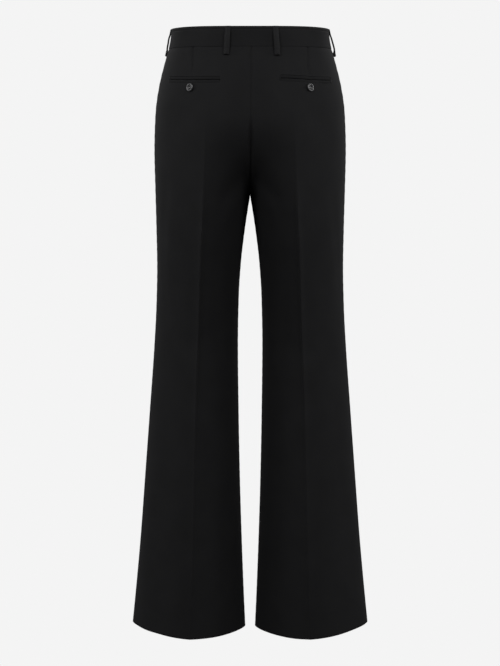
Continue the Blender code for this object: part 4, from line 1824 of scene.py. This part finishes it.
@dataclass
class BackPockets:
    """The two lips of each back pocket, with the tacks at their ends and the buttonholes under them."""

    mouth_gap: float = 0.5 * MM
    upper_opens: float = 0.35
    pressed_in: float = 0.15 * MM
    underside: tuple[float, ...] = (0.9, 0.5, 0.1)
    level_reach: float = 7.0 * MM
    upper: Outline = (
        (0.00, -1.45), (0.03, -1.15), (0.08, -0.95), (0.16, -0.80), (0.30, -0.60), (0.50, -0.34),
        (0.68, -0.13), (0.80, -0.05), (0.90, -0.15), (0.96, -0.60), (0.99, -1.25),
    )
    lower: Outline = (
        (0.00, -1.20), (0.03, -0.55), (0.08, -0.15), (0.16, 0.08), (0.28, 0.08), (0.45, -0.06),
        (0.62, -0.21), (0.80, -0.36), (0.94, -0.47), (1.02, -0.60), (1.08, -0.95),
    )
    gapes: dict[Side, tuple[Gape, ...]] = field(
        default_factory=lambda: {
            Side.LEFT: (
                Gape(92 * MM, 26 * MM, 0.2 * MM, 0.1 * MM),
                Gape(136 * MM, 5 * MM, 0.4 * MM, 0.2 * MM),
            ),
            Side.RIGHT: (
                Gape(99 * MM, 6 * MM, 0.5 * MM, 0.2 * MM),
                Gape(127 * MM, 6 * MM, 1.3 * MM, 0.5 * MM),
                Gape(66 * MM, 16 * MM, 0.15 * MM, 0.1 * MM),
            ),
        }
    )
    stations: int = 90
    button_x: float = 104 * MM
    hole_top: float = -76.4 * MM
    hole_bottom: float = -91.0 * MM
    hole_slit: float = 0.25 * MM
    hole_half_width: float = 1.3 * MM
    purl_pitch: float = 0.55 * MM
    purl_lift: float = 0.22 * MM
    purl_thread: float = 0.24 * MM
    tack_beyond: float = 1.4 * MM
    tack_height: float = 7.5 * MM
    tack_width: float = 1.5 * MM
    tack_pitch: float = 0.36 * MM
    tack_thread: float = 0.18 * MM
    thread_lift: float = 0.1 * MM

    def on_panel(
        self, surface: ClothSurface, side: Side, x: float, height: float
    ) -> tuple[Array, Array]:
        """The place on the back panel at that distance and height, and the outward direction."""
        place, out = (mirrored(found, side) for found in FORM.outside(x, height, Face.BACK))
        return surface.on(place, out), out

    def level(self, surface: ClothSurface, side: Side, x: float) -> Pair:
        """How far the panel stands out from the plain form just above and just below the lips.

        Args:
            surface: The panel.
            side: The wearer's left or right.
            x: Distance from the centre line.

        Returns:
            Metres above and below.
        """
        found = []
        for way in (1, -1):
            height = float(POCKET.mouth(side, x)) + way * self.level_reach
            place, out = self.on_panel(surface, side, x, height)
            base, _ = FORM.outside(x, height, Face.BACK)
            found.append(float(np.dot(place - mirrored(base, side), out)))
        return found[0], found[1]

    def lip_piece(self, surface: ClothSurface, side: Side, upper: bool) -> Piece:
        """One lip, swept along the mouth from its inner to its outer end.

        Args:
            surface: The panel.
            side: The wearer's left or right.
            upper: The upper lip, or else the lower one.

        Returns:
            The lip.
        """
        outline = np.array(self.upper if upper else self.lower)
        floor = -POCKET.depth - self.pressed_in
        share = np.concatenate([outline[:, 0], self.underside])
        out = np.concatenate([outline[:, 1] * MM, [floor] * len(self.underside)])
        way = 1 if upper else -1
        sections, places = [], []
        for x in np.linspace(POCKET.inner, POCKET.outer, self.stations):
            above, below = self.level(surface, side, x)
            gap, lift = self.mouth_gap, 0.0
            for gape in self.gapes[side]:
                near = float(bell(x - gape.x, gape.reach))
                gap += gape.open * near * (self.upper_opens if upper else 1.0)
                lift += gape.lift * near
            section = []
            for s, o in zip(share, out):
                away = way * (gap + s * (POCKET.lip - gap))
                place, outward = FORM.outside(x, float(POCKET.mouth(side, x)) + away, Face.BACK)
                level = below + (above - below) * (away / self.level_reach + 1) / 2
                raised = level + (o if o <= floor else o + lift * (1 - s))
                section.append(place + outward * raised)
            sections.append(mirrored(np.array(section), side))
            places.append(np.stack([np.full(len(share), x), share * POCKET.lip * way + out], -1))
        name = f"pocket_lip_{'upper' if upper else 'lower'}_{side.name.lower()}"
        return swept(name, np.array(sections), np.array(places), upper == (side is Side.LEFT))

    def tack_stitches(self, surface: ClothSurface, side: Side, x: float) -> tuple[list, list]:
        """A bar tack across the mouth's end.

        Args:
            surface: The panel.
            side: The wearer's left or right.
            x: Distance from the centre line.

        Returns:
            Where each stitch starts and ends.
        """
        starts, ends = [], []
        middle = float(POCKET.mouth(side, x))
        reach = self.tack_height / 2
        for height in np.arange(middle - reach, middle + reach, self.tack_pitch):
            for way, found in ((-1, starts), (1, ends)):
                place, out = self.on_panel(surface, side, x + way * self.tack_width / 2, height)
                found.append(place + out * self.thread_lift)
        return starts, ends

    def hole_stitches(self, surface: ClothSurface, side: Side) -> tuple[list, list]:
        """The worked edges of the buttonhole, one row on each side of its slit.

        Args:
            surface: The panel.
            side: The wearer's left or right.

        Returns:
            Where each stitch starts and ends.
        """
        starts, ends = [], []
        for height in np.arange(self.hole_bottom, self.hole_top, self.purl_pitch):
            for way in (-1, 1):
                near, out = self.on_panel(surface, side, self.button_x + way * self.hole_slit, height)
                starts.append(near + out * self.purl_lift)
                far, out = self.on_panel(surface, side, self.button_x + way * self.hole_half_width, height)
                ends.append(far + out * self.thread_lift)
        return starts, ends

    def build(
        self,
        panels: dict[PanelKey, Piece],
        wool: Material,
        thread: Material,
        stitches: Stitches,
    ) -> None:
        """Makes both pockets.

        Args:
            panels: The leg panels.
            wool: The cloth.
            thread: The thread.
            stitches: Makes the stitches.
        """
        for side in Side:
            surface = ClothSurface(panels[Face.BACK, side])
            name = side.name.lower()
            for upper in (True, False):
                lip = self.lip_piece(surface, side, upper)
                node = f"pocket_jet_{'upper' if upper else 'lower'}_{name}"
                dress(lip, wool, "pocket lip", node)
            worked = self.hole_stitches(surface, side)
            stitches.sew(f"pocket_buttonhole_{name}", *worked, thread, self.purl_thread)
            starts, ends = [], []
            for x in (POCKET.inner - self.tack_beyond, POCKET.outer + self.tack_beyond):
                more = self.tack_stitches(surface, side, x)
                starts += more[0]
                ends += more[1]
            stitches.sew(f"pocket_tacks_{name}", starts, ends, thread, self.tack_thread)


# --- buttons ---


@dataclass
class Button:
    """A turned four-hole button with a raised rim, sewn on over a short shank of thread."""

    name: str
    node: str
    place: Array
    out: Array
    tilt: float = 0.0
    steps: int = 72
    outline: Outline = (
        (0.0, 0.75), (2.5, 0.75), (3.2, 0.9), (3.9, 1.5), (4.7, 2.0), (5.6, 2.15), (6.4, 2.0),
        (6.85, 1.65), (7.0, 1.2), (6.8, 0.7), (6.2, 0.3), (5.0, 0.1), (3.0, 0.05), (0.0, 0.05),
    )
    outline_points: int = 34
    hole_radius: float = 0.85 * MM
    hole_offset: float = 1.45 * MM
    hole_sides: int = 16
    cut_reach: Pair = (-3 * MM, 6 * MM)
    strands: tuple[float, ...] = (-0.42 * MM, 0.0, 0.42 * MM)
    strand_bend: float = 0.6 * MM
    strand_height: float = 1.1 * MM
    strand_dips: float = 0.5 * MM
    shank_strands: int = 14
    shank_foot: Pair = (1.3 * MM, -1.0 * MM)
    shank_head: Pair = (1.5 * MM, 0.25 * MM)
    shank_twist: float = 0.4

    def axes(self) -> Array:
        """Its own axes as rows: across, up and out.

        Returns:
            Three unit vectors.
        """
        out = unit(np.asarray(self.out))
        across = unit(np.cross([0.0, 0.0, 1.0], out))
        up = np.cross(out, across)
        turned_across = math.cos(self.tilt) * across + math.sin(self.tilt) * up
        turned_up = math.cos(self.tilt) * up - math.sin(self.tilt) * across
        return np.array([turned_across, turned_up, out])

    def placed(self, points: Array) -> Array:
        """Points from the button's own axes to where it is sewn on."""
        return np.asarray(points) @ self.axes() + self.place

    def body(self) -> Piece:
        """The turned body with its holes.

        Returns:
            The body.
        """
        knots = np.array(self.outline)
        way = run_along(knots)
        fine = np.linspace(0, way[-1], self.outline_points)
        radius, rise = np.interp(fine, way, knots[:, 0]) * MM, np.interp(fine, way, knots[:, 1]) * MM
        turns = np.linspace(0, 2 * math.pi, self.steps, endpoint=False)
        inner = slice(1, -1)
        ring = np.stack(
            [
                radius[inner, None] * np.cos(turns),
                radius[inner, None] * np.sin(turns),
                np.repeat(rise[inner, None], self.steps, 1),
            ],
            -1,
        )
        points = np.concatenate([ring.reshape(-1, 3), [(0, 0, rise[0]), (0, 0, rise[-1])]])
        rows = len(ring)
        at = np.arange(rows * self.steps).reshape(rows, self.steps)
        after = np.roll(at, -1, 1)
        faces = np.stack([at[:-1], at[1:], after[1:], after[:-1]], -1).reshape(-1, 4).tolist()
        top, foot = rows * self.steps, rows * self.steps + 1
        faces += [[top, at[0, i], after[0, i]] for i in range(self.steps)]
        faces += [[foot, after[-1, i], at[-1, i]] for i in range(self.steps)]
        made = make_object(self.name, self.placed(points), faces)
        cutters = []
        for i, (sx, sy) in enumerate(((-1, -1), (1, -1), (1, 1), (-1, 1))):
            cutters.append(self.cutter(sx * self.hole_offset, sy * self.hole_offset))
            cut = made.modifiers.new(f"Hole {i}", "BOOLEAN")
            cut.operation = "DIFFERENCE"
            cut.object = cutters[-1]
        apply_modifiers(made)
        for cutter in cutters:
            bpy.data.objects.remove(cutter, do_unlink=True)
        made.data.set_sharp_from_angle(angle=math.radians(35))
        return made

    def cutter(self, x: float, y: float) -> Piece:
        """A bar with a many-sided section that cuts one thread hole.

        Args:
            x: The hole's place across the button.
            y: Its place up the button.

        Returns:
            The bar.
        """
        count = self.hole_sides
        turns = np.linspace(0, 2 * math.pi, count, endpoint=False)
        circle = np.stack([x + self.hole_radius * np.cos(turns), y + self.hole_radius * np.sin(turns)], -1)
        ends = [np.column_stack([circle, np.full(count, reach)]) for reach in self.cut_reach]
        faces = [[i, (i + 1) % count, count + (i + 1) % count, count + i] for i in range(count)]
        faces += [list(range(count))[::-1], list(range(count, 2 * count))]
        return make_object("hole_cutter", self.placed(np.concatenate(ends)), faces)

    def thread_runs(self) -> tuple[list, list]:
        """The thread through the holes, two straight bars of three strands, and the shank behind.

        Returns:
            Where each strand starts and ends.
        """
        starts, ends = [], []
        bar = (
            (-self.hole_offset, self.strand_dips),
            (-self.strand_bend, self.strand_height),
            (self.strand_bend, self.strand_height),
            (self.hole_offset, self.strand_dips),
        )
        for row in (-1, 1):
            for strand in self.strands:
                y = row * self.hole_offset + strand
                placed = self.placed(np.array([(x, y, rise) for x, rise in bar]))
                starts += list(placed[:-1])
                ends += list(placed[1:])
        for turn in np.linspace(0, 2 * math.pi, self.shank_strands, endpoint=False):
            for angle, (radius, rise), found in (
                (turn, self.shank_foot, starts),
                (turn + self.shank_twist, self.shank_head, ends),
            ):
                found.append(self.placed([radius * math.cos(angle), radius * math.sin(angle), rise]))
        return starts, ends


@dataclass
class Buttons:
    """One button below each back pocket, and one on the waistband's lap."""

    pocket_x: float = 102.6 * MM
    pocket_height: float = -83.1 * MM
    pocket_lift: float = 1.3 * MM
    turned: float = 0.16
    tilts: dict[Side, float] = field(default_factory=lambda: {Side.LEFT: 0.35, Side.RIGHT: -0.2})
    lap_x: float = -12 * MM
    lap_lift: float = 0.8 * MM
    lap_tilt: float = 0.1
    thread: float = 0.24 * MM

    def build(self, resin: Material, thread: Material, stitches: Stitches) -> None:
        """Makes the three buttons.

        Args:
            resin: The buttons' material.
            thread: The thread.
            stitches: Makes the stitches.
        """
        buttons = []
        for side in Side:
            place, out = FORM.outside(side.value * self.pocket_x, self.pocket_height, Face.BACK)
            out = unit(out + np.array([side.value * self.turned, 0, 0]))
            name = side.name.lower()
            names = f"back_button_{name}", f"pocket_button_{name}"
            buttons.append(Button(*names, place + out * self.pocket_lift, out, self.tilts[side]))
        angle = FORM.hip_angle(self.lap_x, 0.0, Face.FRONT)
        height = float(FORM.waist_top(angle)) - FORM.waistband / 2
        out = FORM.hip_normal(angle, height)
        place = FORM.hip(angle, height) + out * self.lap_lift
        buttons.append(Button("lap_button", "waistband_button", place, out, self.lap_tilt))
        for button in buttons:
            dress(button.body(), resin, "button", button.node)
            stitches.sew(button.name + "_thread", *button.thread_runs(), thread, self.thread)


# --- the fly ---


@dataclass
class Fly:
    """The zip behind the lap, the lap's curved stitching and the worked buttonhole of the waistband."""

    tape_half_width: float = 15 * MM
    tape_top: float = -22 * MM
    tape_bottom: float = -146 * MM
    tape_depth: float = 3.0 * MM
    tape_cloth: float = 0.8 * MM
    teeth_top: float = -34.6 * MM
    teeth_bottom: float = -142 * MM
    teeth_depth: float = 2.2 * MM
    bead_rise: float = 0.25 * MM
    bead_across: float = 0.2
    bead_width: float = 0.05
    slider_body: Outline = (
        (-2.0, -24.0), (-3.5, -26.0), (-3.3, -29.5), (-2.4, -33.8), (2.4, -33.8), (3.3, -29.5),
        (3.5, -26.0), (2.0, -24.0),
    )
    slider_body_depths: Pair = (1.55 * MM, 2.65 * MM)
    slider_bridge: Outline = (
        (-0.8, -24.8), (-0.8, -31.0), (0.8, -31.0), (0.8, -24.8),
    )
    slider_bridge_depths: Pair = (1.5 * MM, 1.9 * MM)
    slider_bevel: float = 0.22 * MM
    stitch_length: float = 2.4 * MM
    stitch_gap: float = 0.9 * MM
    stitch_top: float = -18 * MM
    stitch_out: float = 34 * MM
    stitch_turns: float = -108 * MM
    stitch_end: float = -152 * MM
    stitch_end_x: float = 2 * MM
    stitch_lift: float = 0.05 * MM
    stitch_thread: float = 0.2 * MM
    lap_x: float = -12 * MM
    hole_reach: float = 9.5 * MM
    hole_slit: float = 0.25 * MM
    hole_half_width: float = 1.4 * MM
    purl_pitch: float = 0.55 * MM
    purl_lifts: Pair = (0.2 * MM, 0.08 * MM)
    purl_thread: float = 0.24 * MM

    def behind(self, x: float, height: float, depth: float) -> Array:
        """A place behind the outside of the fronts."""
        place, out = FORM.outside(x, height, Face.FRONT)
        return place - out * depth

    def tape(self) -> Piece:
        """The zip's tape, with a corded bead beside the teeth.

        Returns:
            The tape.
        """
        parts = ((-1, -0.28), (-0.22, 0.22), (0.28, 1))
        across = np.concatenate([np.linspace(start, end, 9) for start, end in parts])
        bead = self.bead_rise * bell(np.abs(across) - self.bead_across, self.bead_width)
        walls = []
        for depths in (self.tape_depth - bead, np.full(len(across), self.tape_depth + self.tape_cloth)):
            rows = [
                [self.behind(a * self.tape_half_width, height, depth) for a, depth in zip(across, depths)]
                for height in np.linspace(self.tape_top, self.tape_bottom, 60)
            ]
            walls.append(np.array(rows))
        return shell("fly_zip_tape", *walls, walls[0][..., [0, 2]], False)

    def plate(
        self, name: str, outline: Sequence[Pair], near: float, far: float
    ) -> Piece:
        """A small bevelled plate behind the fly.

        Args:
            name: Its name.
            outline: Points (x, height) in millimetres, anticlockwise from in front.
            near: Depth of its outer face behind the fronts.
            far: Depth of its inner face.

        Returns:
            The plate.
        """
        rim = [(x * MM, h * MM) for x, h in outline]
        points = [self.behind(x, h, near) for x, h in rim] + [self.behind(x, h, far) for x, h in rim]
        count = len(rim)
        faces = [[i, i + count, (i + 1) % count + count, (i + 1) % count] for i in range(count)]
        faces += [list(range(count)), list(range(count, 2 * count))[::-1]]
        made = make_object(name, np.array(points), faces)
        bevel = made.modifiers.new("Bevel", "BEVEL")
        bevel.width = self.slider_bevel
        bevel.segments = 3
        apply_modifiers(made)
        made.data.set_sharp_from_angle(angle=math.radians(50))
        return made

    def slider(self) -> list[Piece]:
        """The slider's body, and its bridge with the pull tab folded flat, as one plate on it.

        Returns:
            The two plates.
        """
        return [
            self.plate("zip_slider_body", self.slider_body, *self.slider_body_depths),
            self.plate("zip_slider_bridge", self.slider_bridge, *self.slider_bridge_depths),
        ]

    def lap_path(self) -> Array:
        """The line of the lap's stitching, as distance from the centre line and height.

        Returns:
            Points from its top to its end.
        """
        heights = np.arange(self.stitch_top, self.stitch_turns, -0.8 * MM)
        straight = np.stack([np.full(len(heights), -self.stitch_out), heights], -1)
        turn = np.linspace(0, math.pi / 2, 60)[1:]
        reach = self.stitch_out - self.stitch_end_x
        x = -self.stitch_out + reach * (1 - np.cos(turn)) ** 1.35
        height = self.stitch_turns + (self.stitch_end - self.stitch_turns) * np.sin(turn) ** 1.1
        return np.concatenate([straight, np.stack([x, height], -1)])

    def lap_stitches(self, surface: ClothSurface) -> tuple[list, list]:
        """Running stitches along that line.

        Args:
            surface: The right front panel.

        Returns:
            Where each stitch starts and ends.
        """
        path = self.lap_path()
        way = run_along(path)
        starts, ends = [], []
        for begin in np.arange(0, way[-1] - self.stitch_length, self.stitch_length + self.stitch_gap):
            for along, found in ((begin, starts), (begin + self.stitch_length, ends)):
                x, height = np.interp(along, way, path[:, 0]), np.interp(along, way, path[:, 1])
                place, out = FORM.outside(x, height, Face.FRONT)
                found.append(surface.on(place, out) + out * self.stitch_lift)
        return starts, ends

    def hole_stitches(self, surface: ClothSurface) -> tuple[list, list]:
        """The worked edges of the waistband's buttonhole.

        Args:
            surface: The right half of the waistband.

        Returns:
            Where each stitch starts and ends.
        """
        starts, ends = [], []
        height = float(FORM.waist_top(FORM.hip_angle(self.lap_x, 0.0, Face.FRONT))) - FORM.waistband / 2
        reaches = (self.hole_slit, self.hole_half_width)
        for x in np.arange(self.lap_x - self.hole_reach, self.lap_x + self.hole_reach, self.purl_pitch):
            angle = FORM.hip_angle(x, height, Face.FRONT)
            out = FORM.hip_normal(angle, height)
            for way in (-1, 1):
                for away, lift, found in zip(reaches, self.purl_lifts, (starts, ends)):
                    place = surface.on(FORM.hip(angle, height + way * away), out)
                    found.append(place + out * lift)
        return starts, ends

    def build(
        self,
        front: Piece,
        band: Piece,
        tape: Material,
        metal: Material,
        thread: Material,
        stitches: Stitches,
    ) -> None:
        """Makes the fly's pieces.

        Args:
            front: The right front panel, which laps over.
            band: The right half of the waistband.
            tape: The tape's material.
            metal: The teeth's and slider's material.
            thread: The thread.
            stitches: Makes the stitches.
        """
        dress(self.tape(), tape, "zip tape", "zip_tape")
        heights = np.linspace(self.teeth_top, self.teeth_bottom, 90)
        line = np.array([self.behind(0.0, h, self.teeth_depth) for h in heights])
        teeth = ZipTeeth().set_along("fly_zip_teeth", line, metal)
        dress(teeth, metal, "zip teeth", "zip_chain")
        for piece in self.slider():
            dress(piece, metal, "zip slider", "zip_slider")
        sewn = self.lap_stitches(ClothSurface(front))
        stitches.sew("fly_lap_stitching", *sewn, thread, self.stitch_thread)
        worked = self.hole_stitches(ClothSurface(band))
        stitches.sew("waistband_buttonhole", *worked, thread, self.purl_thread)


# --- the studio ---


@dataclass(frozen=True)
class Lamp:
    """A pair of soft boxes, one on each side: degrees round from behind, height and watts of each."""

    name: str
    degrees: float
    height: float
    watts: float


@dataclass
class Studio:
    """Camera, lights, backdrop and floor."""

    camera_place: Triple = (0.00025, 3.2, -0.075)
    camera_down: float = 7.945
    lens: float = 96.91
    backdrop: float = 0.905
    ambient: float = 0.227
    floor_glow: float = 0.083
    floor_height: float = -1.45
    floor_half: float = 30.0
    lamp_size: Pair = (0.9, 1.2)
    lamp_distance: float = 2.6
    lamp_aim: Triple = (0.0, 0.0, -0.45)
    lamps: tuple[Lamp, ...] = (
        Lamp("back", 40, 1.4, 28),
        Lamp("side", 90, 0.3, 20.6),
        Lamp("front", 140, 1.4, 28),
    )

    def camera(self) -> None:
        """Sets the photograph's viewpoint, behind the trousers and looking a little down."""
        data = bpy.data.cameras.new("Camera")
        data.lens = self.lens
        data.sensor_width = 36.0
        data.clip_end = 100.0
        camera = bpy.data.objects.new("Camera", data)
        camera.location = self.camera_place
        camera.rotation_euler = (math.radians(90 - self.camera_down), 0, math.pi)
        bpy.context.scene.collection.objects.link(camera)
        bpy.context.scene.camera = camera

    def soft_box(self, lamp: Lamp, side: Side) -> None:
        """Stands one soft box of a pair on its side and points it at the middle of the trousers.

        Args:
            lamp: The pair.
            side: Which of them.
        """
        data = bpy.data.lights.new(f"{lamp.name} {side.name.lower()}", "AREA")
        data.shape = "RECTANGLE"
        data.size, data.size_y = self.lamp_size
        data.energy = lamp.watts
        box = bpy.data.objects.new(data.name, data)
        turn = math.radians(lamp.degrees)
        x = side.value * self.lamp_distance * math.sin(turn)
        box.location = (x, self.lamp_distance * math.cos(turn), lamp.height)
        box.rotation_euler = (Vector(self.lamp_aim) - box.location).to_track_quat("-Z", "Y").to_euler()
        bpy.context.scene.collection.objects.link(box)

    def glowing(self, tree: Tree, kind: str, strength: float) -> Wire:
        """A white glow of that kind of node, the backdrop's to the camera and that strong as a light."""
        seen = tree.wire("ShaderNodeLightPath", "Is Camera Ray")
        glow = {"Color": (1, 1, 1, 1), "Strength": seen * (self.backdrop - strength) + strength}
        return tree.wire(kind, 0, None, glow)

    def surroundings(self) -> None:
        """The pale backdrop all round, and the floor."""
        world = bpy.data.worlds.new("Studio")
        world.use_nodes = True
        bpy.context.scene.world = world
        tree = Tree(world.node_tree)
        glow = self.glowing(tree, "ShaderNodeBackground", self.ambient)
        tree.node("ShaderNodeOutputWorld", None, {0: glow})
        material, tree = new_material("pale floor")
        glow = self.glowing(tree, "ShaderNodeEmission", self.floor_glow)
        tree.node("ShaderNodeOutputMaterial", None, {0: glow})
        half, height = self.floor_half, self.floor_height
        corners = [(-half, -half, height), (half, -half, height), (half, half, height), (-half, half, height)]
        floor = make_object("floor", np.array(corners), [[0, 1, 2, 3]])
        floor.data.materials.append(material)

    def build(self) -> None:
        """Sets everything up."""
        self.camera()
        self.surroundings()
        for lamp in self.lamps:
            for side in Side:
                self.soft_box(lamp, side)
        view = bpy.context.scene.view_settings
        view.view_transform = "Standard"
        view.look = "None"


def main() -> None:
    """Dresses the frame."""
    logging.basicConfig(level=logging.INFO, format="%(name)s %(message)s")
    Studio().build()
    wool, thread = WoolFinish().material(), ThreadFinish().material()
    tape, metal, resin = TapeFinish().material(), MetalFinish().material(), ButtonFinish().material()
    stitches = Stitches()
    panels = LegPanels().build(wool)
    bands = Waistband().build(wool)
    # The loops get the paler wool, a painted highlight on the straps.
    BeltLoops().build(PaintedHighlightWoolFinish().material())
    BackPockets().build(panels, wool, thread, stitches)
    Buttons().build(resin, thread, stitches)
    Fly().build(panels[Face.FRONT, Side.RIGHT], bands[Side.RIGHT], tape, metal, thread, stitches)


if __name__ == "__main__":
    main()
